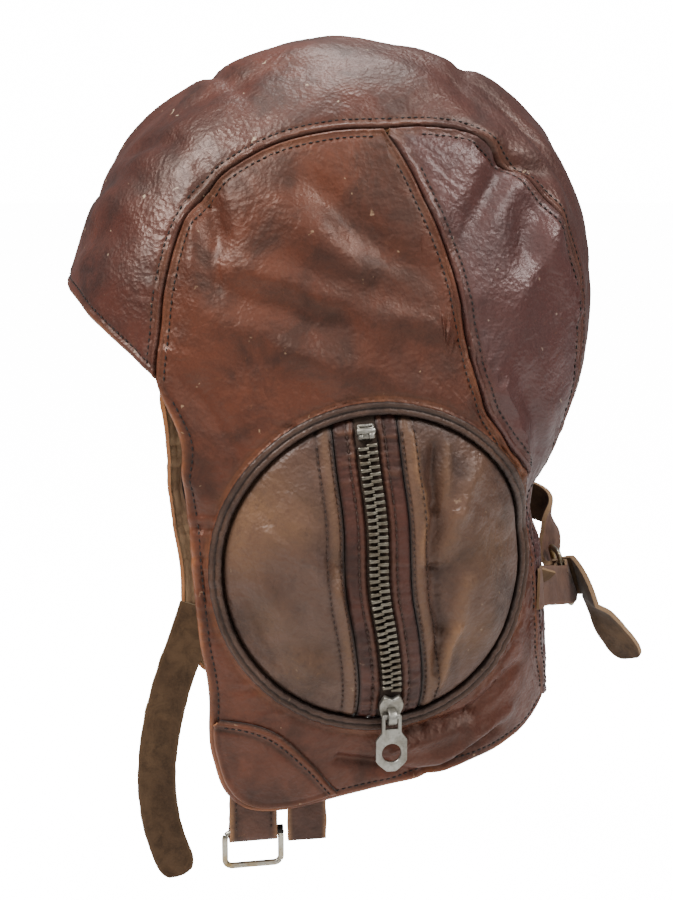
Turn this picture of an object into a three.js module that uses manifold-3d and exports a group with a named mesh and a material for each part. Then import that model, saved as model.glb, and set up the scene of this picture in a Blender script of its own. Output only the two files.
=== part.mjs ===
import * as THREE from 'three';
import { mergeVertices } from 'three/addons/utils/BufferGeometryUtils.js';
import Module from 'manifold-3d';

// Leather flying helmet, in millimetres.
// Shell sizes are worked out about the ear axis: f points to the face, z up, x to the wearer's left.
// An angle on the side view starts at the face, passes the crown at 90 and the nape at 180.
// The finished group has its origin at the inside of the crown, +Z up and the face towards -Y.

const wasm = await Module();
wasm.setup();

// Shell
const crownRadius = 179;
const halfBreadth = 80;
const roundness = 2.45;
const leatherWall = 2;
const seamClearance = 0.4;
const browAngle = 41.5;
const junctionAngle = 92;
const napeAngle = 222;
const panelStepDegrees = 5;
const rearTipDegrees = 0.8;

// Ear ring and ear pocket
const ringOuterRadius = 58;
const ringWidth = 4.5;
const ringHeight = 2.2;
const ringDepth = 1.6;
const pocketWall = 1.5;
const pocketDome = 8;
const pocketFullness = 0.7;
const leafCornerWidth = 3;

// Slide fastener
const chainWidth = 6.6;
const chainHeight = 1.4;
const facingWidth = 7;
const facingWall = 1.2;
const topStopLength = 5;
const topStopHeight = 2.2;
const sliderLength = 10;
const sliderWidth = 8.4;
const sliderPlate = 2;
const sliderLift = 0.7;
const sliderFootShare = 0.75;
const sliderWaistShare = 0.2;
const sliderHeadShare = 0.7;
const bailInnerHalf = 1.5;
const bailWall = 1.2;
const bailWidth = 3;
const pullBarRadius = 0.75;
const pullLength = 20;
const pullWidth = 11;
const pullNeckWidth = 7;
const pullWindowWidth = 4.4;
const pullWindowLength = 4.4;
const pullWindowWall = 1.4;
const pullThickness = 1.3;
const pullHoleRadius = 3.4;
const pullHoleDrop = 0.66;
const pullShoulderDrop = 0.42;
const pullChinDrop = 0.80;
const pullTipShare = 0.35;

// Chin patch, buckle and straps
const patchWall = 1.2;
const patchInset = 2.2;
const patchClearance = 0.45;
const strapWidth = 17;
const strapWall = 1.8;
const strapInset = 0.72;
const backingInset = 0.9;
const chinStrapLength = 131;
const chinStrapAngle = -48;
const chinTipShare = 0.3;
const wireRadius = 1.1;
const frameWidth = 22.5;
const frameHeight = 15;
const frameCorner = 2.5;
const loopEyeRadius = 2;
const loopPly = 1.5;
const loopReach = 20;
const eyeFoldStart = 1.8;
const eyeFoldEnd = 0.6;
const loopAngle = -64.5;
const barBelowHem = 10.7;
const backingWidth = 14;
const backingLength = 22;
const backingClearance = 3.4;

// Nape adjuster
const napeBow = 12;
const napeStrapWidth = 16;
const napeTailLength = 31;
const napeFrameHeight = 25;
const napeFrameWidth = 13;
const napeBuckleLateral = 10;
const napeBuckleDrop = 27;
const napeBuckleStandoff = 12.5;
const napeFrameLean = 17;
const keeperWidth = 15;
const napeMiddleAngle = 200;
const napeAnchorAngle = 180;
const napeAnchorLean = 12;
const napeTipShare = 0.4;
const keeperAngle = 196;
const keeperWall = 1;
const keeperSewn = 9;
const keeperFold = 6;

// Facets
const sideBands = 5;
const rearBands = 3;
const crownBands = 10;
const patchRows = 9;
const patchBands = 3;
const leafRows = 12;
const leafBands = 6;
const zipRows = 14;
const napeCurveRows = 12;
const napeTurnRows = 5;
const keeperSewnRows = 3;
const keeperTurnRows = 5;
const wireSides = 8;
const nearShare = 0.35;

// Radius of the mid-plane outline about the ear axis, as shares of crownRadius
const profile = [
  { angle: -95, share: 0.927 },
  { angle: -60, share: 0.860 },
  { angle: -30, share: 0.704 },
  { angle: 0, share: 0.603 },
  { angle: 20, share: 0.603 },
  { angle: 40, share: 0.754 },
  { angle: 60, share: 0.894 },
  { angle: 80, share: 0.984 },
  { angle: 95, share: 1.000 },
  { angle: 110, share: 0.955 },
  { angle: 125, share: 0.846 },
  { angle: 140, share: 0.665 },
  { angle: 155, share: 0.497 },
  { angle: 170, share: 0.405 },
  { angle: 185, share: 0.422 },
  { angle: 200, share: 0.455 },
  { angle: 215, share: 0.534 },
  { angle: 235, share: 0.690 },
  { angle: 265, share: 0.927 },
];

// Half width of the crown strip, as shares of halfBreadth
const crownSeam = [
  { angle: 41.5, share: 0.789 },
  { angle: 48, share: 0.766 },
  { angle: 56, share: 0.718 },
  { angle: 61, share: 0.682 },
  { angle: 67, share: 0.660 },
  { angle: 75, share: 0.660 },
  { angle: 84, share: 0.673 },
  { angle: 92, share: 0.674 },
  { angle: 98, share: 0.655 },
  { angle: 106, share: 0.628 },
  { angle: 114, share: 0.640 },
  { angle: 126, share: 0.640 },
  { angle: 140, share: 0.640 },
  { angle: 150, share: 0.610 },
  { angle: 162, share: 0.540 },
  { angle: 180, share: 0.475 },
  { angle: 200, share: 0.440 },
  { angle: 222, share: 0.420 },
];

// Distance outside the ear ring, as shares of the height from the ring to the crown
const rearSeam = [
  { angle: 95, share: 0.648 },
  { angle: 99, share: 0.523 },
  { angle: 104, share: 0.390 },
  { angle: 108, share: 0.285 },
  { angle: 113, share: 0.183 },
  { angle: 122, share: 0.080 },
  { angle: 135, share: 0.030 },
  { angle: 155, share: 0.026 },
  { angle: 179, share: 0.034 },
  { angle: 199, share: 0.076 },
  { angle: 212, share: 0.160 },
  { angle: 222, share: 0.290 },
];
const hemLine = [
  { angle: -138, share: 0.290 },
  { angle: -132, share: 0.288 },
  { angle: -124, share: 0.255 },
  { angle: -115, share: 0.217 },
  { angle: -104, share: 0.193 },
  { angle: -91, share: 0.191 },
  { angle: -79, share: 0.242 },
  { angle: -70, share: 0.312 },
  { angle: -62, share: 0.350 },
  { angle: -57, share: 0.330 },
  { angle: -50, share: 0.263 },
  { angle: -38, share: 0.136 },
  { angle: -21, share: 0.064 },
  { angle: -2, share: 0.043 },
  { angle: 13, share: 0.062 },
  { angle: 26, share: 0.120 },
  { angle: 36, share: 0.202 },
];
const patchSeam = [
  { angle: -80, share: 0.205 },
  { angle: -74, share: 0.147 },
  { angle: -63, share: 0.090 },
  { angle: -50, share: 0.104 },
  { angle: -44, share: 0.150 },
];

// Soft folds of the side, centres and lengths as shares of crownRadius, depth as shares of leatherWall
const sideFolds = [
  { forward: 0.06, up: 0.53, tilt: 17, long: 0.24, wide: 0.030, deep: -0.9 },
  { forward: 0.15, up: 0.42, tilt: 20, long: 0.20, wide: 0.026, deep: 0.7 },
  { forward: 0.29, up: 0.66, tilt: 78, long: 0.11, wide: 0.020, deep: -0.9 },
  { forward: 0.37, up: 0.30, tilt: 70, long: 0.13, wide: 0.022, deep: 0.6 },
  { forward: -0.24, up: 0.72, tilt: -55, long: 0.12, wide: 0.028, deep: -1.3 },
  { forward: -0.36, up: 0.62, tilt: -62, long: 0.16, wide: 0.030, deep: 1.0 },
  { forward: -0.12, up: -0.40, tilt: -12, long: 0.16, wide: 0.028, deep: 0.8 },
  { forward: -0.16, up: 0.94, tilt: 4, long: 0.14, wide: 0.030, deep: -0.8 },
  { forward: -0.34, up: 0.14, tilt: 82, long: 0.10, wide: 0.022, deep: -1.0 },
];

// Soft folds of the crown: place along the strip in degrees, across as shares of halfBreadth
const crownFolds = [
  { angle: 50, across: 0.30, turn: 62, long: 0.16, wide: 0.026, deep: -0.9 },
  { angle: 60, across: -0.25, turn: 35, long: 0.22, wide: 0.034, deep: 0.9 },
  { angle: 72, across: 0.30, turn: 12, long: 0.20, wide: 0.030, deep: -0.8 },
  { angle: 104, across: 0.46, turn: 20, long: 0.14, wide: 0.030, deep: -1.2 },
  { angle: 118, across: 0.10, turn: -20, long: 0.20, wide: 0.036, deep: 0.9 },
  { angle: 160, across: 0.25, turn: 75, long: 0.16, wide: 0.028, deep: -1.2 },
  { angle: 172, across: -0.20, turn: 80, long: 0.16, wide: 0.026, deep: -1.0 },
];

// Folds of the ear pocket leather, as shares of ringOuterRadius and of pocketWall
const pocketFolds = [
  { forward: 0.55, up: 0.10, tilt: 80, long: 0.50, wide: 0.26, deep: 1.7 },
  { forward: 0.42, up: -0.42, tilt: 35, long: 0.22, wide: 0.09, deep: -1.1 },
  { forward: 0.62, up: 0.48, tilt: -50, long: 0.25, wide: 0.08, deep: -0.7 },
  { forward: -0.33, up: 0.30, tilt: 86, long: 0.45, wide: 0.06, deep: -1.2 },
  { forward: -0.50, up: 0.20, tilt: 80, long: 0.50, wide: 0.08, deep: 1.0 },
  { forward: -0.62, up: -0.25, tilt: 70, long: 0.32, wide: 0.13, deep: 1.8 },
];

// Centre line of the slide fastener, forward places as shares of ringOuterRadius
const zipLine = [
  { angle: -60, share: -0.040 },
  { angle: -40, share: -0.050 },
  { angle: -22, share: -0.012 },
  { angle: -7, share: 0.035 },
  { angle: 20, share: 0.055 },
  { angle: 37, share: 0.088 },
  { angle: 60, share: 0.112 },
];

// Hanging chin strap: share of its length and lean from the vertical in degrees
const chinStrapRun = [
  { share: 0.12, lean: 20 },
  { share: 0.11, lean: 21 },
  { share: 0.11, lean: 17 },
  { share: 0.11, lean: 13 },
  { share: 0.11, lean: 8 },
  { share: 0.11, lean: 2 },
  { share: 0.11, lean: -6 },
  { share: 0.11, lean: -14 },
  { share: 0.11, lean: -20 },
];

// Free tail of the nape strap: share of its length, lean from the vertical, twist of its face
const napeTailRun = [
  { share: 0.20, lean: 42, twist: 75 },
  { share: 0.20, lean: 34, twist: 64 },
  { share: 0.20, lean: 32, twist: 57 },
  { share: 0.20, lean: 36, twist: 55 },
  { share: 0.20, lean: 38, twist: 55 },
];

// Nape strap from its seam: turn on the side view, turn across the shell, share of the bow
const napeBowRun = [
  { turn: 0, across: 0, bow: 0 },
  { turn: 2, across: 0.2, bow: 0.3 },
  { turn: 6, across: 0.36, bow: 1 },
];

const smallStep = 0.001;
const radians = THREE.MathUtils.degToRad;
const degrees = THREE.MathUtils.radToDeg;

// Smooth curve through the rows of a table
function curveThrough(rows, key, period = 0) {
  const last = rows.length - 1;
  const slopeBetween = (a, b) => (rows[b][key] - rows[a][key]) / (rows[b].angle - rows[a].angle);
  const slopes = rows.map((row, i) => {
    if (i > 0 && i < last) {
      const before = row.angle - rows[i - 1].angle;
      const after = rows[i + 1].angle - row.angle;
      return (slopeBetween(i - 1, i) * after + slopeBetween(i, i + 1) * before) / (before + after);
    }
    if (!period) {
      return i === 0 ? slopeBetween(0, 1) : slopeBetween(last - 1, last);
    }
    const before = rows[last].angle - rows[last - 1].angle;
    const after = rows[1].angle - rows[0].angle;
    return (slopeBetween(last - 1, last) * after + slopeBetween(0, 1) * before) / (before + after);
  });
  return (angle) => {
    let place = angle;
    if (period) {
      place = rows[0].angle + THREE.MathUtils.euclideanModulo(angle - rows[0].angle, period);
    }
    place = THREE.MathUtils.clamp(place, rows[0].angle, rows[last].angle);
    let i = 0;
    while (i < last - 1 && place > rows[i + 1].angle) {
      i += 1;
    }
    const span = rows[i + 1].angle - rows[i].angle;
    const u = (place - rows[i].angle) / span;
    const rise = rows[i + 1][key] - rows[i][key];
    const bendA = slopes[i] * span - rise;
    const bendB = rise - slopes[i + 1] * span;
    return rows[i][key] + u * rise + u * (1 - u) * (bendA * (1 - u) + bendB * u);
  };
}

const profileShare = curveThrough(profile, 'share', 360);
const crownSeamShare = curveThrough(crownSeam, 'share');
const zipShare = curveThrough(zipLine, 'share');

function outlineRadius(angle) {
  return crownRadius * profileShare(angle);
}

function polarFromRadius(angle, radius) {
  const t = Math.min(radius / outlineRadius(angle), 0.9999);
  return Math.atan2(t, (1 - t ** roundness) ** (1 / roundness));
}

function polarFromHalfWidth(share) {
  return Math.atan2((1 - share ** roundness) ** (1 / roundness), share);
}

function radiusFromPolar(angle, polar) {
  const cosine = Math.abs(Math.cos(polar));
  const sine = Math.abs(Math.sin(polar));
  const reach = (cosine ** roundness + sine ** roundness) ** (-1 / roundness);
  return outlineRadius(angle) * reach * sine;
}

// Middle surface of the shell: angle on the side view, polar 0 at the ear and 90 degrees at the mid-plane
function shellBase(angle, polar) {
  const cosine = Math.cos(polar);
  const sine = Math.sin(polar);
  const reach = (Math.abs(cosine) ** roundness + Math.abs(sine) ** roundness) ** (-1 / roundness);
  const radius = outlineRadius(angle) * reach * sine;
  return new THREE.Vector3(
    halfBreadth * reach * cosine,
    radius * Math.cos(radians(angle)),
    radius * Math.sin(radians(angle)),
  );
}

function shellNormal(angle, polar) {
  if (polar < 0.02) {
    return new THREE.Vector3(1, 0, 0);
  }
  const alongAngle = shellBase(angle + 1, polar).sub(shellBase(angle - 1, polar));
  const alongPolar = shellBase(angle, polar + smallStep).sub(shellBase(angle, polar - smallStep));
  const normal = alongAngle.cross(alongPolar).normalize();
  return normal.dot(shellBase(angle, polar)) < 0 ? normal.negate() : normal;
}

function ridge(across, along, wide, long) {
  return Math.exp(-((across / wide) ** 2) - (along / long) ** 2);
}

function planeFolds(rows, size, wall, forward, up) {
  let sum = 0;
  for (const row of rows) {
    const df = forward - row.forward * size;
    const dz = up - row.up * size;
    const turn = radians(row.tilt);
    const along = df * Math.cos(turn) + dz * Math.sin(turn);
    const across = dz * Math.cos(turn) - df * Math.sin(turn);
    sum += row.deep * wall * ridge(across, along, row.wide * size, row.long * size);
  }
  return sum;
}

function shellFolds(angle, point) {
  let sum = 0;
  const side = THREE.MathUtils.smoothstep(Math.abs(point.x), 0.4 * halfBreadth, 0.62 * halfBreadth);
  if (side > 0) {
    sum += side * planeFolds(sideFolds, crownRadius, leatherWall, point.y, point.z);
  }
  for (const row of crownFolds) {
    const forward = radians(angle - row.angle) * outlineRadius(row.angle);
    const lateral = point.x - row.across * halfBreadth;
    const turn = radians(row.turn);
    const along = forward * Math.cos(turn) + lateral * Math.sin(turn);
    const across = lateral * Math.cos(turn) - forward * Math.sin(turn);
    sum += (1 - side) * row.deep * leatherWall
      * ridge(across, along, row.wide * crownRadius, row.long * crownRadius);
  }
  return sum;
}

// Point of the shell at a height above its outer face
function shellPoint(angle, polar, height) {
  const base = shellBase(angle, polar);
  const lift = height + shellFolds(angle, base);
  return base.add(shellNormal(angle, polar).multiplyScalar(lift));
}

function shellFromSide(forward, up, height) {
  const angle = degrees(Math.atan2(up, forward));
  return shellPoint(angle, polarFromRadius(angle, Math.hypot(forward, up)), height);
}

// Height of the inside of the crown above the ear axis
function crownSeatHeight() {
  let top = 0;
  for (let angle = 60; angle <= 120; angle += 1) {
    top = Math.max(top, outlineRadius(angle) * Math.sin(radians(angle)));
  }
  return top - leatherWall;
}
const seatHeight = crownSeatHeight();

// From the ear axis to the part's own frame, on the wearer's left (1) or right (-1)
function place(point, side = 1) {
  return new THREE.Vector3(side * point.x, -point.y, point.z - seatHeight);
}

function closedMesh(points, faces) {
  let volume = 0;
  for (const [a, b, c] of faces) {
    volume += points[a].dot(points[b].clone().cross(points[c]));
  }
  const turned = volume < 0 ? faces.map(([a, b, c]) => [a, c, b]) : faces;
  const geometry = new THREE.BufferGeometry();
  geometry.setAttribute('position', new THREE.Float32BufferAttribute(points.flatMap((p) => p.toArray()), 3));
  geometry.setIndex(turned.flat());
  return geometry;
}

function addQuad(faces, a, b, c, d) {
  faces.push([a, b, c], [a, c, d]);
}

// Wall between two grids of points, closed round its edges
function slab(outer, inner, wraps = false) {
  const rows = outer.length;
  const columns = outer[0].length;
  const points = [...outer.flat(), ...inner.flat()];
  const shift = rows * columns;
  const at = (i, j) => (i % rows) * columns + j;
  const faces = [];
  const bands = wraps ? rows : rows - 1;
  for (let i = 0; i < bands; i += 1) {
    for (let j = 0; j < columns - 1; j += 1) {
      addQuad(faces, at(i, j), at(i + 1, j), at(i + 1, j + 1), at(i, j + 1));
      addQuad(faces, shift + at(i, j), shift + at(i, j + 1), shift + at(i + 1, j + 1), shift + at(i + 1, j));
    }
    addQuad(faces, at(i, 0), shift + at(i, 0), shift + at(i + 1, 0), at(i + 1, 0));
    const end = columns - 1;
    addQuad(faces, at(i, end), at(i + 1, end), shift + at(i + 1, end), shift + at(i, end));
  }
  if (!wraps) {
    const low = rows - 1;
    for (let j = 0; j < columns - 1; j += 1) {
      addQuad(faces, at(0, j), at(0, j + 1), shift + at(0, j + 1), shift + at(0, j));
      addQuad(faces, at(low, j), shift + at(low, j), shift + at(low, j + 1), at(low, j + 1));
    }
  }
  return closedMesh(points, faces);
}

// Tube of equal sections, joined end to end or closed by flat ends
function tube(sections, wraps = false) {
  const count = sections[0].length;
  const rows = sections.length;
  const points = sections.flat();
  const at = (i, j) => (i % rows) * count + (j % count);
  const faces = [];
  for (let i = 0; i < (wraps ? rows : rows - 1); i += 1) {
    for (let j = 0; j < count; j += 1) {
      addQuad(faces, at(i, j), at(i + 1, j), at(i + 1, j + 1), at(i, j + 1));
    }
  }
  if (!wraps) {
    for (let j = 1; j < count - 1; j += 1) {
      faces.push([at(0, 0), at(0, j), at(0, j + 1)]);
      faces.push([at(rows - 1, 0), at(rows - 1, j + 1), at(rows - 1, j)]);
    }
  }
  return closedMesh(points, faces);
}

function share(count) {
  return Array.from({ length: count + 1 }, (_, i) => i / count);
}

function mergedCopy(geometry) {
  const bare = geometry.clone();
  for (const name of ['normal', 'uv']) {
    if (bare.getAttribute(name)) {
      bare.deleteAttribute(name);
    }
  }
  return mergeVertices(bare, 1e-5);
}

function toSolid(geometry) {
  const merged = mergedCopy(geometry);
  return new wasm.Manifold(new wasm.Mesh({
    numProp: 3,
    vertProperties: new Float32Array(merged.getAttribute('position').array),
    triVerts: new Uint32Array(merged.getIndex().array),
  }));
}

function fromSolid(solid) {
  const mesh = solid.getMesh();
  const geometry = new THREE.BufferGeometry();
  geometry.setAttribute('position', new THREE.BufferAttribute(new Float32Array(mesh.vertProperties), 3));
  geometry.setIndex(new THREE.BufferAttribute(new Uint32Array(mesh.triVerts), 1));
  return geometry;
}

// Panels

const ringToCrown = crownRadius - ringOuterRadius;
const browRadius = radiusFromPolar(browAngle, polarFromHalfWidth(crownSeam[0].share));
const junctionRadius = radiusFromPolar(junctionAngle, polarFromHalfWidth(crownSeamShare(junctionAngle)));

function outsideRing(rows) {
  return rows.map((row) => ({ angle: row.angle, radius: ringOuterRadius + row.share * ringToCrown }));
}
const rearSeamRadius = curveThrough(
  [{ angle: junctionAngle, radius: junctionRadius }, ...outsideRing(rearSeam)],
  'radius',
);
const hemRadius = curveThrough([...outsideRing(hemLine), { angle: browAngle, radius: browRadius }], 'radius');
const patchSeamRadius = curveThrough(outsideRing(patchSeam), 'radius');

function crownSeamPolar(angle) {
  return polarFromHalfWidth(crownSeamShare(angle));
}

function sideOutlinePolar(angle) {
  if (angle >= browAngle && angle <= junctionAngle) {
    return crownSeamPolar(angle);
  }
  if (angle > junctionAngle && angle <= napeAngle) {
    return polarFromRadius(angle, rearSeamRadius(angle));
  }
  const low = angle > napeAngle ? angle - 360 : angle;
  return polarFromRadius(angle, hemRadius(low));
}

// Turn of the polar angle that moves a point by a length along the shell
function polarStep(angle, polar, length) {
  const step = shellBase(angle, polar + smallStep).distanceTo(shellBase(angle, polar - smallStep));
  return length * 2 * smallStep / step;
}

function panelAngles(from, to) {
  const fixed = [from, to, browAngle, junctionAngle, junctionAngle + rearTipDegrees, napeAngle];
  const first = Math.ceil(from / panelStepDegrees) * panelStepDegrees;
  for (let angle = first; angle < to; angle += panelStepDegrees) {
    if (fixed.every((other) => Math.abs(other - angle) > nearShare * panelStepDegrees)) {
      fixed.push(angle);
    }
  }
  const inside = fixed.filter((angle) => angle >= from && angle <= to);
  return [...new Set(inside)].sort((a, b) => a - b);
}

function wallOf(grid, height, wall, side, wraps) {
  const put = (lift) => ([angle, polar]) => place(shellPoint(angle, polar, lift), side);
  const lay = (lift) => grid.map((row) => row.map(put(lift)));
  return slab(lay(height), lay(height - wall), wraps);
}

function sidePanel(side) {
  const angles = panelAngles(napeAngle - 360, napeAngle).slice(0, -1);
  const grid = angles.map((angle) => {
    const turn = angle < napeAngle - 360 + 0.01 ? napeAngle : angle;
    const start = polarFromRadius(turn, ringOuterRadius + seamClearance);
    const end = sideOutlinePolar(turn);
    const trim = polarStep(turn, end, seamClearance / 2);
    return share(sideBands).map((u) => [turn, start + u * (end - trim - start)]);
  });
  return wallOf(grid, 0, leatherWall, side, true);
}

function rearPanel(side) {
  const grid = panelAngles(junctionAngle + rearTipDegrees, napeAngle).map((angle) => {
    const start = polarFromRadius(angle, rearSeamRadius(angle));
    const end = crownSeamPolar(angle);
    const low = start + polarStep(angle, start, seamClearance);
    const high = end - polarStep(angle, end, seamClearance / 2);
    return share(rearBands).map((u) => [angle, low + u * (high - low)]);
  });
  return wallOf(grid, 0, leatherWall, side);
}

function crownStrip() {
  const grid = panelAngles(browAngle, napeAngle).map((angle) => {
    const start = crownSeamPolar(angle);
    const trimmed = start + polarStep(angle, start, seamClearance / 2);
    return share(crownBands).map((u) => [angle, trimmed + u * (Math.PI - 2 * trimmed)]);
  });
  return wallOf(grid, 0, leatherWall, 1);
}

function chinPatch(side) {
  const from = patchSeam[0].angle;
  const to = patchSeam[patchSeam.length - 1].angle;
  const grid = share(patchRows).map((v) => {
    const angle = from + v * (to - from);
    const edge = hemRadius(angle) - patchInset;
    const start = Math.min(patchSeamRadius(angle), edge - patchInset / 2);
    return share(patchBands).map((u) => [angle, polarFromRadius(angle, start + u * (edge - start))]);
  });
  return wallOf(grid, patchClearance + patchWall, patchWall, side);
}

// Ear ring: a rolled welt round the pocket
const ringSection = [
  { across: 0, up: -ringDepth },
  { across: 1, up: -ringDepth },
  { across: 1, up: 0.4 * ringHeight },
  { across: 0.72, up: ringHeight },
  { across: 0.28, up: ringHeight },
  { across: 0, up: 0.4 * ringHeight },
];

function earRing(side) {
  const count = 360 / panelStepDegrees;
  const sections = Array.from({ length: count }, (_, i) => {
    const angle = i * panelStepDegrees;
    return ringSection.map(({ across, up }) => {
      const radius = ringOuterRadius - ringWidth * (1 - across);
      return place(shellPoint(angle, polarFromRadius(angle, radius), up), side);
    });
  });
  return tube(sections, true);
}

// Ear pocket
const pocketRadius = ringOuterRadius - ringWidth - seamClearance;
const zipHalf = chainWidth / 2;
const facingStart = zipHalf + seamClearance;
const facingEnd = facingStart + facingWidth;
const leafStart = facingEnd + seamClearance;

function zipForward(up) {
  return ringOuterRadius * zipShare(up);
}

function pocketPoint(forward, up, height) {
  const rim = Math.min(Math.hypot(forward, up) / pocketRadius, 1);
  const dome = pocketDome * (1 - rim * rim) ** pocketFullness;
  const folds = (1 - rim ** 6) * planeFolds(pocketFolds, ringOuterRadius, pocketWall, forward, up);
  const fromZip = Math.abs(forward - zipForward(up));
  const zipEase = THREE.MathUtils.smoothstep(fromZip, facingEnd, facingEnd + facingWidth);
  return shellFromSide(forward, up, height + dome + folds * zipEase);
}

function pocketWallOf(grid, height, wall, side) {
  const lay = (lift) => grid.map((row) => row.map(([f, z]) => place(pocketPoint(f, z, lift), side)));
  return slab(lay(height), lay(height - wall));
}

// Height on the fastener where a line beside it comes within a margin of the pocket's rim
function rimHeight(offset, way, margin) {
  let up = way * pocketRadius;
  for (let i = 0; i < 8; i += 1) {
    const forward = zipForward(up) + offset;
    up = way * Math.sqrt((pocketRadius - margin) ** 2 - forward ** 2);
  }
  return up;
}

function pocketLeaf(side, way) {
  const low = rimHeight(way * leafStart, -1, leafCornerWidth);
  const high = rimHeight(way * leafStart, 1, leafCornerWidth);
  const lowTurn = Math.atan2(low, zipForward(low) + way * leafStart);
  const highTurn = Math.atan2(high, zipForward(high) + way * leafStart);
  const start = way > 0 ? lowTurn : lowTurn + 2 * Math.PI;
  const grid = share(leafRows).map((v) => {
    const up = low + v * (high - low);
    const forward = zipForward(up) + way * leafStart;
    const turn = start + v * (highTurn - start);
    const rimForward = pocketRadius * Math.cos(turn);
    const rimUp = pocketRadius * Math.sin(turn);
    return share(leafBands).map((u) => [forward + u * (rimForward - forward), up + u * (rimUp - up)]);
  });
  return pocketWallOf(grid, 0, pocketWall, side);
}

function zipStrip(side, from, to, low, high, height, wall) {
  const grid = share(zipRows).map((v) => {
    const up = low + v * (high - low);
    return [from, to].map((offset) => [zipForward(up) + offset, up]);
  });
  return pocketWallOf(grid, height, wall, side);
}

function zipFacing(side, way) {
  const low = rimHeight(way * facingEnd, -1, seamClearance);
  const high = rimHeight(way * facingEnd, 1, seamClearance);
  return zipStrip(side, way * facingStart, way * facingEnd, low, high, 0, facingWall);
}

const chainTop = rimHeight(zipHalf, 1, 1) - topStopLength - 2 * seamClearance;
const sliderUp = rimHeight(zipHalf, -1, 1) + sliderLength / 2;
const chainLow = sliderUp + sliderLength / 2 + seamClearance;

function zipChain(side) {
  return zipStrip(side, -zipHalf, zipHalf, chainLow, chainTop, chainHeight, chainHeight + facingWall);
}

function zipTopStop(side) {
  const low = chainTop + seamClearance;
  const grid = share(2).map((v) => {
    const up = low + v * topStopLength;
    return [-zipHalf, zipHalf].map((offset) => [zipForward(up) + offset, up]);
  });
  return pocketWallOf(grid, topStopHeight, topStopHeight + facingWall, side);
}

// Axes on the pocket's face at the slider: forward, up along the face, and out of it
function sliderFrame() {
  const forward = zipForward(sliderUp);
  const centre = pocketPoint(forward, sliderUp, 0);
  const up = pocketPoint(forward, sliderUp + 2, 0).sub(pocketPoint(forward, sliderUp - 2, 0)).normalize();
  const out = new THREE.Vector3(0, 1, 0).cross(up).normalize();
  const across = up.clone().cross(out).normalize();
  const basis = new THREE.Matrix4().makeBasis(across, up, out.x < 0 ? out.negate() : out);
  return { centre, basis };
}

function extruded(shape, depth, curveSegments = 8) {
  const geometry = new THREE.ExtrudeGeometry(shape, { depth, bevelEnabled: false, curveSegments });
  return geometry.translate(0, 0, -depth / 2);
}

function outline(points) {
  return new THREE.Shape(points.map(([x, y]) => new THREE.Vector2(x, y)));
}

// Flat shapes stood on the helmet's side, and across it
const flatToSide = new THREE.Matrix4().makeBasis(
  new THREE.Vector3(0, 1, 0),
  new THREE.Vector3(0, 0, 1),
  new THREE.Vector3(1, 0, 0),
);
const acrossForward = new THREE.Matrix4().makeBasis(
  new THREE.Vector3(1, 0, 0),
  new THREE.Vector3(0, 0, 1),
  new THREE.Vector3(0, -1, 0),
);

const bailCentreUp = -sliderLength / 2 + bailInnerHalf + bailWall;
const bailAxisLift = sliderLift + sliderPlate + bailInnerHalf;

function bailArch() {
  const half = bailInnerHalf + bailWall;
  const base = -bailInnerHalf - sliderPlate / 2;
  const arch = outline([[-half, base], [half, base], [half, bailInnerHalf], [bailInnerHalf, half],
    [-bailInnerHalf, half], [-half, bailInnerHalf]]);
  arch.holes.push(new THREE.Path([[-1, -1], [1, -1], [1, 1], [-1, 1]]
    .map(([x, y]) => new THREE.Vector2(x * bailInnerHalf, y * bailInnerHalf))));
  const geometry = extruded(arch, bailWidth);
  return geometry.applyMatrix4(flatToSide).translate(0, bailCentreUp, bailAxisLift);
}

function toPart(geometry, side) {
  const points = geometry.getAttribute('position');
  const point = new THREE.Vector3();
  for (let i = 0; i < points.count; i += 1) {
    point.fromBufferAttribute(points, i);
    const placed = place(point, side);
    points.setXYZ(i, placed.x, placed.y, placed.z);
  }
  return faceOut(mergedCopy(geometry));
}

function faceOut(geometry) {
  const points = geometry.getAttribute('position');
  const pointAt = (_, i) => new THREE.Vector3().fromBufferAttribute(points, i);
  const list = Array.from({ length: points.count }, pointAt);
  const index = Array.from(geometry.getIndex().array);
  const faces = [];
  for (let i = 0; i < index.length; i += 3) {
    faces.push(index.slice(i, i + 3));
  }
  return closedMesh(list, faces);
}

function zipSlider(side) {
  const { centre, basis } = sliderFrame();
  const half = sliderWidth / 2;
  const end = sliderLength / 2;
  const foot = sliderFootShare * half;
  const head = sliderHeadShare * half;
  const waist = sliderWaistShare * end;
  const plate = extruded(outline([
    [-foot, -end], [foot, -end], [half, waist], [head, end], [-head, end], [-half, waist],
  ]), sliderPlate).translate(0, 0, sliderLift + sliderPlate / 2);
  const joined = fromSolid(toSolid(plate).add(toSolid(bailArch())));
  joined.applyMatrix4(basis).translate(centre.x, centre.y, centre.z);
  return toPart(joined, side);
}

function pullPivot() {
  const { centre, basis } = sliderFrame();
  return new THREE.Vector3(0, bailCentreUp, bailAxisLift).applyMatrix4(basis).add(centre);
}

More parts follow.
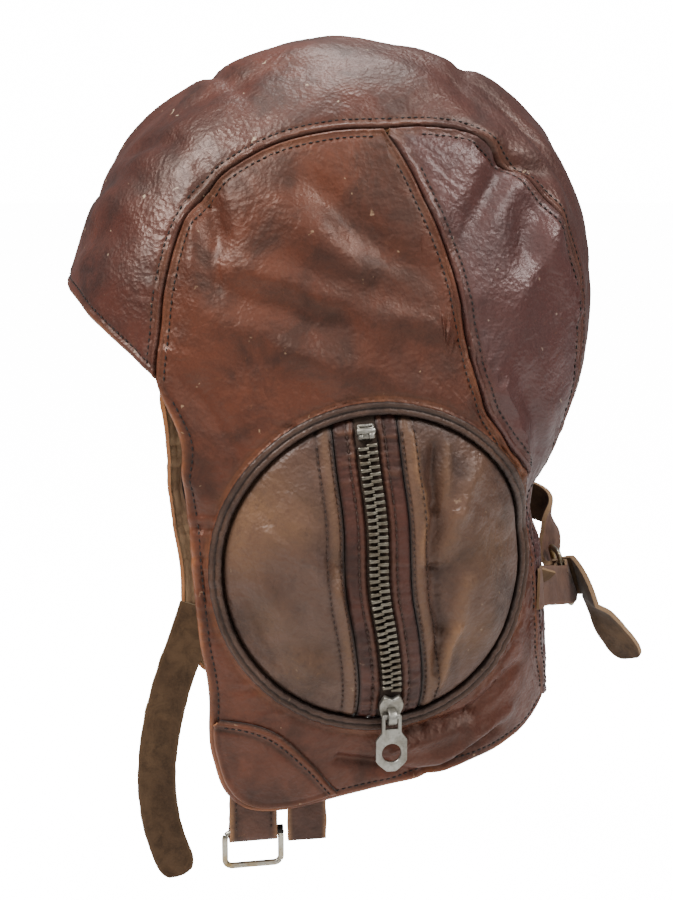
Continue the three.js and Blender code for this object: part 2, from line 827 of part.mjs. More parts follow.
function zipPull(side) {
  const neck = pullNeckWidth / 2;
  const half = pullWidth / 2;
  const tip = pullTipShare * half;
  const neckEnd = -pullWindowLength - pullWindowWall;
  const shoulder = -pullShoulderDrop * pullLength;
  const chin = -pullChinDrop * pullLength;
  const tab = outline([
    [-neck, pullBarRadius], [-neck, neckEnd], [-half, shoulder], [-half, chin], [-tip, -pullLength],
    [tip, -pullLength], [half, chin], [half, shoulder], [neck, neckEnd], [neck, pullBarRadius],
  ]);
  const window = pullWindowWidth / 2;
  tab.holes.push(new THREE.Path([
    [-window, -pullBarRadius],
    [window, -pullBarRadius],
    [window, -pullWindowLength],
    [-window, -pullWindowLength],
  ].map(([x, y]) => new THREE.Vector2(x, y))));
  const eye = new THREE.Path();
  eye.absarc(0, -pullHoleDrop * pullLength, pullHoleRadius, 0, 2 * Math.PI);
  tab.holes.push(eye);
  const geometry = extruded(tab, pullThickness, 12).applyMatrix4(flatToSide);
  const pivot = pullPivot();
  geometry.translate(pivot.x, pivot.y, pivot.z);
  return toPart(geometry, side);
}

// Straps: flat leather along a path, with the width direction given at each point
function strap(path, widths, across, wall) {
  const sections = path.map((point, i) => {
    const before = path[Math.max(i - 1, 0)];
    const after = path[Math.min(i + 1, path.length - 1)];
    const along = after.clone().sub(before).normalize();
    const wide = across[i].clone().addScaledVector(along, -across[i].dot(along)).normalize();
    const thick = along.clone().cross(wide).normalize();
    const corner = (a, b) => point.clone()
      .addScaledVector(wide, a * widths[i] / 2)
      .addScaledVector(thick, b * wall / 2);
    return [corner(-1, -1), corner(1, -1), corner(1, 1), corner(-1, 1)];
  });
  return tube(sections);
}

function runPath(start, rows, length, lateral) {
  const path = [start.clone()];
  let { y: forward, z: up } = start;
  for (const row of rows) {
    forward += row.share * length * Math.sin(radians(row.lean));
    up -= row.share * length * Math.cos(radians(row.lean));
    path.push(new THREE.Vector3(lateral(forward, up), forward, up));
  }
  return path;
}

// Lateral place at a depth behind the inner face, straight in from a point of the side view
function insideShell(forward, up, depth) {
  const angle = degrees(Math.atan2(up, forward));
  const polar = polarFromRadius(angle, Math.hypot(forward, up));
  return shellPoint(angle, polar, 0).x - (leatherWall + depth) / shellNormal(angle, polar).x;
}

function insideHem(forward, up) {
  return Math.hypot(forward, up) < hemRadius(degrees(Math.atan2(up, forward)));
}

// Farthest lateral place that stays a depth inside the panel over a rectangle of the side view
function clearInside(forward, up, halfWide, halfHigh, depth, otherwise = halfBreadth) {
  const shares = [-1, -0.5, 0, 0.5, 1];
  const spots = shares.flatMap((a) => shares.map((b) => [forward + a * halfWide, up + b * halfHigh]));
  const covered = spots.filter(([f, z]) => insideHem(f, z)).map(([f, z]) => insideShell(f, z, depth));
  return Math.min(otherwise, ...covered);
}

function rightChinStrap() {
  const topRadius = hemRadius(chinStrapAngle) - strapWidth / 2 - patchInset;
  const forward = topRadius * Math.cos(radians(chinStrapAngle));
  const up = topRadius * Math.sin(radians(chinStrapAngle));
  const depth = strapInset + strapWall / 2;
  let last = halfBreadth;
  const lateral = (f, z) => {
    last = clearInside(f, z, strapWidth / 2, strapWidth / 2, depth, last);
    return last;
  };
  const start = new THREE.Vector3(lateral(forward, up), forward, up);
  const path = runPath(start, chinStrapRun, chinStrapLength, lateral).map((p) => place(p, -1));
  const widths = path.map((_, i) => (i === path.length - 1 ? chinTipShare * strapWidth : strapWidth));
  return strap(path, widths, path.map(() => new THREE.Vector3(0, 1, 0)), strapWall);
}

// Wire frame of round section round a rectangle
function wireFrame(width, height, radius, corner) {
  const halfWide = width / 2 - radius;
  const halfHigh = height / 2 - radius;
  const points = [];
  for (const [sx, sy, turn] of [[1, 1, 0], [-1, 1, 90], [-1, -1, 180], [1, -1, 270]]) {
    for (const step of [0, 30, 60, 90]) {
      const angle = radians(turn + step);
      points.push({
        x: sx * (halfWide - corner) + corner * Math.cos(angle),
        y: sy * (halfHigh - corner) + corner * Math.sin(angle),
        out: new THREE.Vector3(Math.cos(angle), Math.sin(angle), 0),
      });
    }
  }
  const sections = points.map(({ x, y, out }) => Array.from({ length: wireSides }, (_, k) => {
    const turn = 2 * Math.PI * k / wireSides;
    return new THREE.Vector3(x, y, 0)
      .addScaledVector(out, radius * Math.cos(turn))
      .add(new THREE.Vector3(0, 0, radius * Math.sin(turn)));
  }));
  return tube(sections, true);
}

// Folded leather tab with an eye at its end for a wire bar: x out of the tab, y up, z across
function eyeTab(reach, width, ply, eyeRadius) {
  const outer = eyeRadius + ply;
  const shape = new THREE.Shape();
  shape.moveTo(outer, reach);
  shape.lineTo(outer - 2 * ply, reach);
  shape.lineTo(outer - 2 * ply, eyeFoldStart * outer);
  shape.lineTo(-outer, eyeFoldEnd * outer);
  shape.absarc(0, 0, outer, Math.PI, 2 * Math.PI, false);
  shape.closePath();
  const eye = new THREE.Path();
  eye.absarc(0, 0, eyeRadius, 0, 2 * Math.PI);
  shape.holes.push(eye);
  return extruded(shape, width, 6);
}

// Left chin buckle: bar height, tab and frame share one hinge line
function chinBar() {
  const eyeOuter = loopEyeRadius + loopPly;
  const forward = hemRadius(loopAngle) * Math.cos(radians(loopAngle));
  const up = hemRadius(loopAngle) * Math.sin(radians(loopAngle)) - barBelowHem;
  const middle = up + loopReach / 2;
  const lateral = clearInside(forward, middle, strapWidth / 2, loopReach / 2, strapInset) - eyeOuter;
  return new THREE.Vector3(lateral, forward, up);
}

function leftBuckleLoop() {
  const bar = chinBar();
  const tab = eyeTab(loopReach, strapWidth, loopPly, loopEyeRadius).applyMatrix4(acrossForward);
  return toPart(tab.translate(bar.x, bar.y, bar.z), 1);
}

function leftBuckleFrame() {
  const bar = chinBar();
  const frame = wireFrame(frameWidth, frameHeight, wireRadius, frameCorner).applyMatrix4(flatToSide);
  return toPart(frame.translate(bar.x, bar.y, bar.z + wireRadius - frameHeight / 2), 1);
}

function leftBackingTab() {
  const forward = chinBar().y - strapWidth / 2 - backingClearance - backingWidth / 2;
  const top = chinBar().z + loopReach;
  const depth = backingInset + strapWall / 2;
  const lateral = clearInside(forward, top - backingLength / 2, backingWidth / 2, backingLength / 2, depth);
  const path = share(1).map((u) => place(new THREE.Vector3(lateral, forward, top - u * backingLength)));
  return strap(path, path.map(() => backingWidth), path.map(() => new THREE.Vector3(0, 1, 0)), strapWall);
}

// Nape adjuster
const frameTall = new THREE.Vector3(0, Math.sin(radians(napeFrameLean)), Math.cos(radians(napeFrameLean)));

function napeBuckleCentre() {
  const angle = 180 + degrees(Math.asin(napeBuckleDrop / outlineRadius(napeMiddleAngle)));
  const radius = outlineRadius(angle) + napeBuckleStandoff;
  return new THREE.Vector3(napeBuckleLateral, radius * Math.cos(radians(angle)), -napeBuckleDrop);
}

function napeBuckle() {
  const centre = napeBuckleCentre();
  const normal = new THREE.Vector3(1, 0, 0).cross(frameTall).normalize();
  const frame = wireFrame(napeFrameWidth, napeFrameHeight, wireRadius, frameCorner);
  frame.applyMatrix4(new THREE.Matrix4().makeBasis(new THREE.Vector3(1, 0, 0), frameTall, normal));
  return toPart(frame.translate(centre.x, centre.y, centre.z), 1);
}

// How far the strap passes behind the left bar, and outside the keeper on the right bar
const barPass = wireRadius + strapWall / 2 + 3 * seamClearance;
const keeperPass = barPass + keeperWall + 2 * seamClearance;
const barOffset = napeFrameWidth / 2 - wireRadius;

// Leather sewn to the left rear seam, drawn out to the buckle and folded round its right bar
function napeKeeper() {
  const centre = napeBuckleCentre();
  const bar = centre.clone().setX(centre.x + barOffset);
  const seamPolar = polarFromRadius(keeperAngle, rearSeamRadius(keeperAngle));
  const sewnTurn = polarStep(keeperAngle, seamPolar, keeperSewn);
  const lift = 2 * seamClearance + keeperWall / 2;
  const path = [];
  const across = [];
  for (const u of share(keeperSewnRows)) {
    const polar = seamPolar + u * sewnTurn;
    path.push(shellPoint(keeperAngle, polar, lift));
    const run = shellPoint(keeperAngle, polar + smallStep, 0).sub(shellPoint(keeperAngle, polar, 0));
    across.push(shellNormal(keeperAngle, polar).cross(run).normalize());
  }
  const away = path[path.length - 1].clone().sub(bar);
  away.addScaledVector(frameTall, -away.dot(frameTall)).normalize();
  const outer = away.clone().cross(frameTall).normalize();
  const radius = wireRadius + seamClearance + keeperWall / 2;
  const side = Math.sign(across[0].dot(frameTall));
  const tall = frameTall.clone().multiplyScalar(side);
  path.push(bar.clone().addScaledVector(outer, radius).addScaledVector(away, keeperFold));
  across.push(tall);
  for (const u of share(keeperTurnRows)) {
    const turn = u * Math.PI;
    const point = bar.clone()
      .addScaledVector(outer, radius * Math.cos(turn))
      .addScaledVector(away, -radius * Math.sin(turn));
    path.push(point);
    across.push(tall);
  }
  path.push(path[path.length - 1].clone().addScaledVector(away, keeperFold));
  across.push(tall);
  return toPart(strap(path, path.map(() => keeperWidth), across, keeperWall), 1);
}

// One strap: from the right rear seam, bowed over the nape, through the buckle and down as a free tail
function napeStrap() {
  const centre = napeBuckleCentre();
  const out = new THREE.Vector3(1, 0, 0).cross(frameTall).normalize();
  const lift = strapInset + strapWall / 2;
  const anchorPolar = crownSeamPolar(napeAnchorAngle);
  const bowPoints = napeBowRun.map(({ turn, across: polar, bow }) => {
    const point = shellPoint(napeAnchorAngle + turn, anchorPolar + polar, lift + bow * napeBow);
    return point.setX(-point.x);
  });
  const under = centre.clone().setX(centre.x - barOffset).addScaledVector(out, -barPass);
  const over = centre.clone().setX(centre.x + barOffset).addScaledVector(out, keeperPass);
  const curve = new THREE.CatmullRomCurve3([...bowPoints, under, over]);
  const path = curve.getPoints(napeCurveRows);
  const upright = new THREE.Vector3(0, Math.sin(radians(napeAnchorLean)), Math.cos(radians(napeAnchorLean)));
  const across = path.map((_, i) => upright.clone().lerp(frameTall, i / napeCurveRows));

  const pivotReach = napeStrapWidth / 2 + seamClearance;
  const pivot = over.clone().addScaledVector(frameTall, -pivotReach);
  for (const u of share(napeTurnRows).slice(1)) {
    const turn = u * Math.PI / 2;
    const wide = frameTall.clone().multiplyScalar(Math.cos(turn)).setX(Math.sin(turn));
    path.push(pivot.clone().addScaledVector(wide, pivotReach));
    across.push(wide);
  }
  const lateral = path[path.length - 1].x;
  let { y: forward, z: up } = path[path.length - 1];
  for (const row of napeTailRun) {
    const lean = radians(row.lean);
    const twist = radians(row.twist);
    forward -= row.share * napeTailLength * Math.sin(lean);
    up -= row.share * napeTailLength * Math.cos(lean);
    path.push(new THREE.Vector3(lateral, forward, up));
    across.push(new THREE.Vector3(0, -Math.cos(lean), Math.sin(lean))
      .multiplyScalar(Math.cos(twist))
      .setX(Math.sin(twist)));
  }
  const widths = path.map((_, i) => (i === path.length - 1 ? napeTipShare * napeStrapWidth : napeStrapWidth));
  return toPart(strap(path, widths, across, strapWall), 1);
}

// Assembly

const finishes = {
  crownLeather: { color: 0x5a2f27, roughness: 0.42, metalness: 0 },
  sideLeather: { color: 0x6b382c, roughness: 0.5, metalness: 0 },
  rearLeather: { color: 0x5e3530, roughness: 0.45, metalness: 0 },
  pocketLeather: { color: 0x55382c, roughness: 0.55, metalness: 0 },
  facingLeather: { color: 0x6e3a30, roughness: 0.5, metalness: 0 },
  strapSuede: { color: 0x5b4632, roughness: 0.85, metalness: 0 },
  dullNickel: { color: 0x8b877d, roughness: 0.4, metalness: 1 },
};

const helmet = new THREE.Group();

function add(name, geometry, finish) {
  const mesh = new THREE.Mesh(geometry, new THREE.MeshStandardMaterial(finishes[finish]));
  mesh.name = name;
  helmet.add(mesh);
}

add('crown_strip', crownStrip(), 'crownLeather');
for (const [name, side] of [['left', 1], ['right', -1]]) {
  add(`${name}_side_panel`, sidePanel(side), 'sideLeather');
  add(`${name}_rear_panel`, rearPanel(side), 'rearLeather');
  add(`${name}_chin_patch`, chinPatch(side), 'sideLeather');
  add(`${name}_ear_ring`, earRing(side), 'pocketLeather');
  add(`${name}_pocket_front`, pocketLeaf(side, 1), 'pocketLeather');
  add(`${name}_pocket_rear`, pocketLeaf(side, -1), 'pocketLeather');
  add(`${name}_zip_facing_front`, zipFacing(side, 1), 'facingLeather');
  add(`${name}_zip_facing_rear`, zipFacing(side, -1), 'facingLeather');
  add(`${name}_zip_chain`, zipChain(side), 'dullNickel');
  add(`${name}_zip_top_stop`, zipTopStop(side), 'dullNickel');
  add(`${name}_zip_slider`, zipSlider(side), 'dullNickel');
  add(`${name}_zip_pull`, zipPull(side), 'dullNickel');
}
add('left_buckle_loop', leftBuckleLoop(), 'strapSuede');
add('left_buckle_frame', leftBuckleFrame(), 'dullNickel');
add('left_backing_tab', leftBackingTab(), 'strapSuede');
add('right_chin_strap', rightChinStrap(), 'strapSuede');
add('nape_strap', napeStrap(), 'strapSuede');
add('nape_buckle', napeBuckle(), 'dullNickel');
add('nape_keeper', napeKeeper(), 'strapSuede');

export default helmet;
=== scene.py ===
import bpy
import bmesh
from math import asin, atan2, cos, degrees, exp, hypot, pi, radians, sin, sqrt
from mathutils import Matrix, Vector, noise


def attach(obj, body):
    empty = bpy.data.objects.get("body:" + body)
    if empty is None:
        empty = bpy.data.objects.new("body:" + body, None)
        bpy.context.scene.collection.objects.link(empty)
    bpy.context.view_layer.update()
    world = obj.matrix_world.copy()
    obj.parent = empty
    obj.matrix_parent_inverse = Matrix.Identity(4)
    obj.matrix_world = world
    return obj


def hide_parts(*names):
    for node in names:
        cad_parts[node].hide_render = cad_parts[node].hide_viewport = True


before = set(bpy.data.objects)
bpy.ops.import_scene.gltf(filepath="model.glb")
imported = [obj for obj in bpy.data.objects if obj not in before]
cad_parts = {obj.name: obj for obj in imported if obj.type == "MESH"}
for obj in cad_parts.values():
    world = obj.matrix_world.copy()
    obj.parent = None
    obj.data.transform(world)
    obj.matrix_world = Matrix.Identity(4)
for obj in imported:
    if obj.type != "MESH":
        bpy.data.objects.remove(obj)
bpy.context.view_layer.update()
print("frame loaded")

mm = 0.001  # lengths below are in millimetres, about the ear axis: lateral, forward, up

shell = {
    "crownRadius": 179,
    "halfBreadth": 80,
    "roundness": 2.45,  # power of the cross section: 2 is an ellipse, more is squarer
    "wall": 2.0,
    "browAngle": 41.5,  # angles run about the ear axis, from the face over the crown to the nape
    "junctionAngle": 92,  # where side panel, rear panel and crown strip meet
    "rearTip": 0.8,
    "napeAngle": 222,
    "browReach": 140,  # about how far the crown strip's brow and nape ends are from the ear axis
    "napeReach": 110,
    "rearReach": 115,  # the same for the rear panel's nape end
    "seamGap": -0.3,
    "angleStep": 0.8,
    "crease": 0.8,
    "soften": 0.5,
    "sideFrom": 0.4,  # shares of halfBreadth where the crown's folds begin and end to give way to the side's
    "sideTo": 0.62,
}
ring = {
    "outer": 58, "width": 4.5, "height": 2.2, "depth": 1.6, "puckers": 0.35, "overlap": 1.3,
    "groove": 0.52, "grooveDeep": 1.1,  # the seam along the welt: its share of the width, and its depth
    "sides": 26, "count": 420,
}

profileRows = [  # angle from the face over the crown, radius as a share of crownRadius
    (-95, 0.927), (-60, 0.860), (-30, 0.704), (0, 0.603), (20, 0.603), (40, 0.754), (60, 0.894),
    (80, 0.984), (95, 1.000), (110, 0.955), (125, 0.846), (140, 0.665), (155, 0.497), (170, 0.405),
    (185, 0.422), (200, 0.455), (215, 0.534), (235, 0.690), (265, 0.927),
]
crownSeamRows = [  # angle, half width of the crown strip as a share of halfBreadth
    (41.5, 0.789), (48, 0.766), (56, 0.718), (61, 0.682), (67, 0.660), (75, 0.660), (84, 0.673),
    (92, 0.674), (98, 0.655), (106, 0.628), (114, 0.640), (126, 0.640), (140, 0.640), (150, 0.610),
    (162, 0.540), (180, 0.475), (200, 0.440), (222, 0.420),
]
rearSeamRows = [  # angle, distance outside the ear ring as a share of ring to crown
    (95, 0.648), (99, 0.523), (104, 0.390), (108, 0.285), (113, 0.183), (122, 0.080), (135, 0.030),
    (155, 0.026), (179, 0.034), (199, 0.076), (212, 0.160), (222, 0.290),
]
hemRows = [  # the same for the lower edge and the face edge
    (-138, 0.290), (-132, 0.288), (-124, 0.255), (-115, 0.217), (-104, 0.193), (-91, 0.191),
    (-79, 0.242), (-70, 0.312), (-62, 0.350), (-57, 0.330), (-50, 0.263), (-38, 0.136), (-21, 0.064),
    (-2, 0.043), (13, 0.062), (26, 0.120), (36, 0.202),
]
patchRows = [(-80, 0.205), (-74, 0.147), (-63, 0.090), (-50, 0.104), (-44, 0.150)]
zipRows = [(-60, -0.040), (-40, -0.050), (-22, -0.012), (-7, 0.035), (20, 0.055), (37, 0.088), (60, 0.112)]

sideFolds = [  # forward, up, tilt, long, wide as shares of crownRadius, deep in mm
    (0.06, 0.53, 17, 0.24, 0.030, -1.8), (0.15, 0.42, 20, 0.20, 0.026, 1.4),
    (0.29, 0.66, 78, 0.11, 0.020, -1.8), (0.37, 0.30, 70, 0.13, 0.022, 1.2),
    (-0.24, 0.72, -55, 0.12, 0.028, -2.6), (-0.36, 0.62, -62, 0.16, 0.030, 2.0),
    (-0.12, -0.40, -12, 0.16, 0.028, 1.6), (-0.16, 0.94, 4, 0.14, 0.030, -1.6),
    (-0.34, 0.14, 82, 0.10, 0.022, -2.0),
]
crownFolds = [  # angle, across as a share of halfBreadth, turn, then long, wide and deep as above
    (50, 0.30, 62, 0.16, 0.026, -1.8), (60, -0.25, 35, 0.22, 0.034, 1.8),
    (72, 0.30, 12, 0.20, 0.030, -1.6), (104, 0.46, 20, 0.14, 0.030, -2.4),
    (118, 0.10, -20, 0.20, 0.036, 1.8), (160, 0.25, 75, 0.16, 0.028, -2.4),
    (172, -0.20, 80, 0.16, 0.026, -2.0), (73.5, -0.10, 80, 0.26, 0.020, -2.3),
    (105, -0.12, 98, 0.24, 0.020, -2.2), (64, 0.34, 58, 0.13, 0.018, -1.8),
    (56, 0.10, 70, 0.20, 0.022, -1.3), (113, 0.42, 12, 0.16, 0.018, -2.4),
    (88, 0.05, 30, 0.16, 0.026, 1.2), (130, 0.30, 60, 0.14, 0.020, -1.6),
]
pocketFolds = [  # forward, up, tilt, long, wide as shares of the ring's radius, deep in mm
    (0.55, 0.10, 80, 0.50, 0.26, 2.5), (0.42, -0.42, 35, 0.22, 0.09, -1.7),
    (0.62, 0.48, -50, 0.25, 0.08, -1.1), (-0.33, 0.30, 86, 0.45, 0.06, -1.8),
    (-0.50, 0.20, 80, 0.50, 0.08, 1.5), (-0.62, -0.25, 70, 0.32, 0.13, 2.7),
]


keptAnswers = 20000  # how many answers a curve remembers


def curveThrough(rows, period=0):
    # a smooth curve through rows of (angle, value), closed when it has a period
    last = len(rows) - 1

    def slopeBetween(a, b):
        return (rows[b][1] - rows[a][1]) / (rows[b][0] - rows[a][0])

    slopes = []
    for i in range(last + 1):
        if 0 < i < last:
            before, after = rows[i][0] - rows[i - 1][0], rows[i + 1][0] - rows[i][0]
            turned = slopeBetween(i - 1, i) * after + slopeBetween(i, i + 1) * before
            slopes.append(turned / (before + after))
        elif period:
            before, after = rows[last][0] - rows[last - 1][0], rows[1][0] - rows[0][0]
            turned = slopeBetween(last - 1, last) * after + slopeBetween(0, 1) * before
            slopes.append(turned / (before + after))
        else:
            slopes.append(slopeBetween(0, 1) if i == 0 else slopeBetween(last - 1, last))
    found = {}

    def curve(angle):
        if angle in found:
            return found[angle]
        spot = rows[0][0] + (angle - rows[0][0]) % period if period else angle
        spot = min(max(spot, rows[0][0]), rows[last][0])
        i = 0
        while i < last - 1 and spot > rows[i + 1][0]:
            i += 1
        span, rise = rows[i + 1][0] - rows[i][0], rows[i + 1][1] - rows[i][1]
        u = (spot - rows[i][0]) / span
        bendA, bendB = slopes[i] * span - rise, rise - slopes[i + 1] * span
        value = rows[i][1] + u * rise + u * (1 - u) * (bendA * (1 - u) + bendB * u)
        if len(found) < keptAnswers:
            found[angle] = value
        return value

    return curve


profileShare = curveThrough(profileRows, 360)
crownSeamShare = curveThrough(crownSeamRows)
zipShare = curveThrough(zipRows)
power = shell["roundness"]


def outlineRadius(angle):
    return shell["crownRadius"] * profileShare(angle)


def smooth(value, low, high):
    t = min(max((value - low) / (high - low), 0), 1)
    return t * t * (3 - 2 * t)


def hill(value, width):
    return exp(-(value / width) ** 2)


def polarFromRadius(angle, radius):
    # polar: the angle down from the side of the head to a place on the shell
    t = min(radius / outlineRadius(angle), 0.9999)
    return atan2(t, (1 - t ** power) ** (1 / power))


def polarFromHalfWidth(share):
    return atan2((1 - share ** power) ** (1 / power), share)


def shellBase(angle, polar):
    c, s = cos(polar), sin(polar)
    reach = (abs(c) ** power + abs(s) ** power) ** (-1 / power)
    radius = outlineRadius(angle) * reach * s
    turn = radians(angle)
    return Vector((shell["halfBreadth"] * reach * c, radius * cos(turn), radius * sin(turn)))


polarStep = 0.002  # slopes across the shell are taken over this many radians each way


def acrossShell(angle, polar):
    return shellBase(angle, polar + polarStep) - shellBase(angle, polar - polarStep)


def shellNormal(angle, polar):
    if polar < 10 * polarStep:
        return Vector((1, 0, 0))
    alongAngle = shellBase(angle + 1, polar) - shellBase(angle - 1, polar)
    normal = alongAngle.cross(acrossShell(angle, polar)).normalized()
    return -normal if normal.dot(shellBase(angle, polar)) < 0 else normal


seatHeight = max(outlineRadius(a) * sin(radians(a)) for a in range(60, 121)) - shell["wall"]


def place(point, side=1):
    # from lateral, forward and up in millimetres to the frame, on the left or mirrored to the right
    return Vector((side * point[0], -point[1], point[2] - seatHeight)) * mm


def direction(vector, side=1):
    return Vector((side * vector.x, -vector.y, vector.z))


def sided(side, name):
    return ("left_" if side > 0 else "right_") + name


ringToCrown = shell["crownRadius"] - ring["outer"]


def outsideRing(rows):
    return [(angle, ring["outer"] + share * ringToCrown) for angle, share in rows]


def seamRadius(angle):
    base = shellBase(angle, polarFromHalfWidth(crownSeamShare(angle)))
    return hypot(base.y, base.z)


rearSeamRadius = curveThrough([(shell["junctionAngle"], seamRadius(shell["junctionAngle"]))]
                              + outsideRing(rearSeamRows))
hemRadius = curveThrough(outsideRing(hemRows) + [(shell["browAngle"], seamRadius(shell["browAngle"]))])
patchRadius = curveThrough(outsideRing(patchRows))


def crownSeamPolar(angle):
    return polarFromHalfWidth(crownSeamShare(angle))


def sideEdgePolar(angle):
    if shell["browAngle"] <= angle <= shell["junctionAngle"]:
        return crownSeamPolar(angle)
    if shell["junctionAngle"] < angle <= shell["napeAngle"]:
        return polarFromRadius(angle, rearSeamRadius(angle))
    return polarFromRadius(angle, hemRadius(angle - 360 if angle > shell["napeAngle"] else angle))


lineFolds = {  # from forward, up to forward, up, wide and deep in mm, and how rubbed the fold is
    "side": [
        (50, 104, 16, 92, 5.5, 2.0, 0.10), (16, 92, -24, 82, 5, 1.6, 0.10), (44, 94, 12, 84, 5, -1.6, 0),
        (20, 128, -3, 108, 5, -1.9, 0), (-3, 108, -20, 96, 5, -1.2, 0), (30, 120, 8, 100, 6, 1.4, 0.06),
        (55, 124, 54, 96, 3.5, -1.7, 0), (60, 116, 60, 88, 3, 1.1, 0.06), (-28, 84, -38, 52, 3, -1.5, 0),
        (-8, -61, -34, -55, 2.2, -2.0, 0), (-34, -55, -52, -43, 2.2, -1.6, 0),
        (-4, -66, -34, -61, 3, 1.5, 0.08), (14, -69, -18, -77, 2.2, -1.8, 0),
        (-18, -77, -46, -66, 2.2, -2.2, 0), (-22, -71, -50, -58, 3.2, 1.5, 0.08),
        (62, 62, 48, 44, 4, -1.2, 0), (70, 46, 58, 24, 3, 1.1, 0.05), (30, 74, 12, 66, 4, 1.1, 0.05),
        (-52, 118, -62, 86, 6, -1.8, 0), (-62, 112, -74, 84, 4, 1.6, 0.05), (-84, 100, -88, 70, 4, -1.6, 0),
        (-44, 60, -54, 30, 3, 1.5, 0.05), (-50, 66, -62, 36, 3, -1.6, 0), (-40, 140, -64, 132, 3, -2.6, 0),
    ],
    "front": [
        (53, -8, 45, -22, 1.3, -1.0, 0), (45, -22, 34, -33, 1.3, -1.0, 0), (46, -6, 36, -27, 2, -0.8, 0),
        (36, -27, 17, -43, 2, -0.9, 0), (29, 14, 21, 4, 4, 1.3, 0), (21, 4, 14, -6, 3, 1.7, 0),
        (18, 6, 17, 2, 3, -2.6, 0), (14, -6, 8, -22, 3.4, 1.6, 0), (44, 30, 30, 12, 3, -1.2, 0),
        (34, 4, 26, -16, 4, -1.2, 0), (40, -2, 24, -36, 3.4, 1.1, 0),
    ],
    "rear": [
        (-9, 47, -13, 28, 1.1, 1.0, 0.5), (-13, 28, -12.5, 5, 1.1, 1.1, 0.5),
        (-17, 41, -15.5, 22, 2, -2.6, 0), (-15.5, 22, -15.5, 2, 2, -2.6, 0),
        (-15.5, 2, -18, -20, 2, -2.4, 0), (-18, -20, -18.5, -36, 1.8, -1.8, 0),
        (-34, 37, -24, 21, 3.4, 2.0, 0.16), (-24, 21, -19, 6, 2.6, 2.4, 0.16),
        (-22, 42, -19.5, 24, 1.6, 1.6, 0.2), (-27, -4, -23.5, -20, 2.4, 1.7, 0.3),
        (-23.5, -20, -20, -42, 1.8, 1.7, 0.4), (-26, 28, -40, 15, 1.4, -0.8, 0),
        (-30, 44, -44, 24, 2, -0.9, 0), (-33, -10, -30, -34, 4, -1.0, 0),
    ],
}
foldGain, sideLineGain = 1.35, 1.5
wander = {"far": 1.6, "long": 13}  # no fold runs quite straight


def alongLines(name, forward, up):
    # the height and the wear that the line folds give a place
    high, worn, long = 0, 0, wander["long"]
    forward += wander["far"] * noise.noise(Vector((forward / long, up / long, 2)))
    up += wander["far"] * noise.noise(Vector((forward / long, up / long, 7)))
    for f0, z0, f1, z1, wide, deep, rubbed in lineFolds[name]:
        df, dz = f1 - f0, z1 - z0
        u = min(max(((forward - f0) * df + (up - z0) * dz) / (df * df + dz * dz), 0), 1)
        away = hypot(forward - f0 - u * df, up - z0 - u * dz) / wide
        if away < 2.5:
            share = exp(-away * away) * (0.75 + 0.25 * sin(pi * u))
            high, worn = high + deep * share, worn + rubbed * share
    return high, worn


def planeFolds(rows, size, forward, up):
    total = 0
    for f, z, tilt, long, wide, deep in rows:
        df, dz, turn = forward - f * size, up - z * size, radians(tilt)
        along = (df * cos(turn) + dz * sin(turn)) / (long * size)
        across = (dz * cos(turn) - df * sin(turn)) / (wide * size)
        spread = along * along + across * across
        if spread < 9:
            total += foldGain * deep * exp(-spread)
    return total


def shellFolds(angle, point):
    # the side's folds, and over the crown those of the crown strip
    breadth, size = shell["halfBreadth"], shell["crownRadius"]
    side = smooth(abs(point.x), shell["sideFrom"] * breadth, shell["sideTo"] * breadth)
    total = 0
    if side:
        total = planeFolds(sideFolds, size, point.y, point.z)
        total = side * (total + sideLineGain * alongLines("side", point.y, point.z)[0])
    if side == 1:
        return total
    for foldAngle, foldAcross, turn, long, wide, deep in crownFolds:
        forward = radians(angle - foldAngle) * outlineRadius(foldAngle)
        lateral = point.x - foldAcross * breadth
        along = forward * cos(radians(turn)) + lateral * sin(radians(turn))
        across = lateral * cos(radians(turn)) - forward * sin(radians(turn))
        total += (1 - side) * foldGain * deep * hill(across, wide * size) * hill(along, long * size)
    return total


def creases(point, side, amount):
    # slack leather: broad slanting waves, and soft wrinkles between them
    x, f, z = point.x * side + 7, point.y, point.z
    along, across = 0.8 * f - 0.6 * z, 0.6 * f + 0.8 * z
    broad = noise.noise(Vector((x / 30, along / 44, across / 24)))
    middle = noise.noise(Vector((x / 16, along / 25 + 5, across / 10)))
    narrow = abs(noise.noise(Vector((x / 15, along / 17, across / 12 + broad)))) - 0.22
    return amount * (broad * 2.0 + middle * 0.8 - narrow * 0.45)


def shellPoint(angle, polar, height, side=1, crease=0):
    base = shellBase(angle, polar)
    lift = height + shellFolds(angle, base)
    if crease:
        lift += creases(base, side, crease)
    return base + shellNormal(angle, polar) * lift


def shellFromSide(forward, up, height, side=1, crease=0):
    angle = degrees(atan2(up, forward))
    return shellPoint(angle, polarFromRadius(angle, hypot(forward, up)), height, side, crease)


def mmPerRadian(angle, polar):
    return acrossShell(angle, polar).length / (2 * polarStep)


def slant(edgePolar, angle):
    # how square the rows of a panel stand to its edge
    ahead = shellBase(angle + 0.4, edgePolar(angle + 0.4))
    behind = shellBase(angle - 0.4, edgePolar(angle - 0.4))
    across = acrossShell(angle, edgePolar(angle))
    return max(across.normalized().cross((ahead - behind).normalized()).length, 0.3)


# Camera, lights and floor

view = {
    "azimuth": 80, "elevation": 12, "distance": 560, "target": (-5.3, 0.5, 24.1), "lens": 57.04,
    "sensor": 36, "farthest": 20,
}


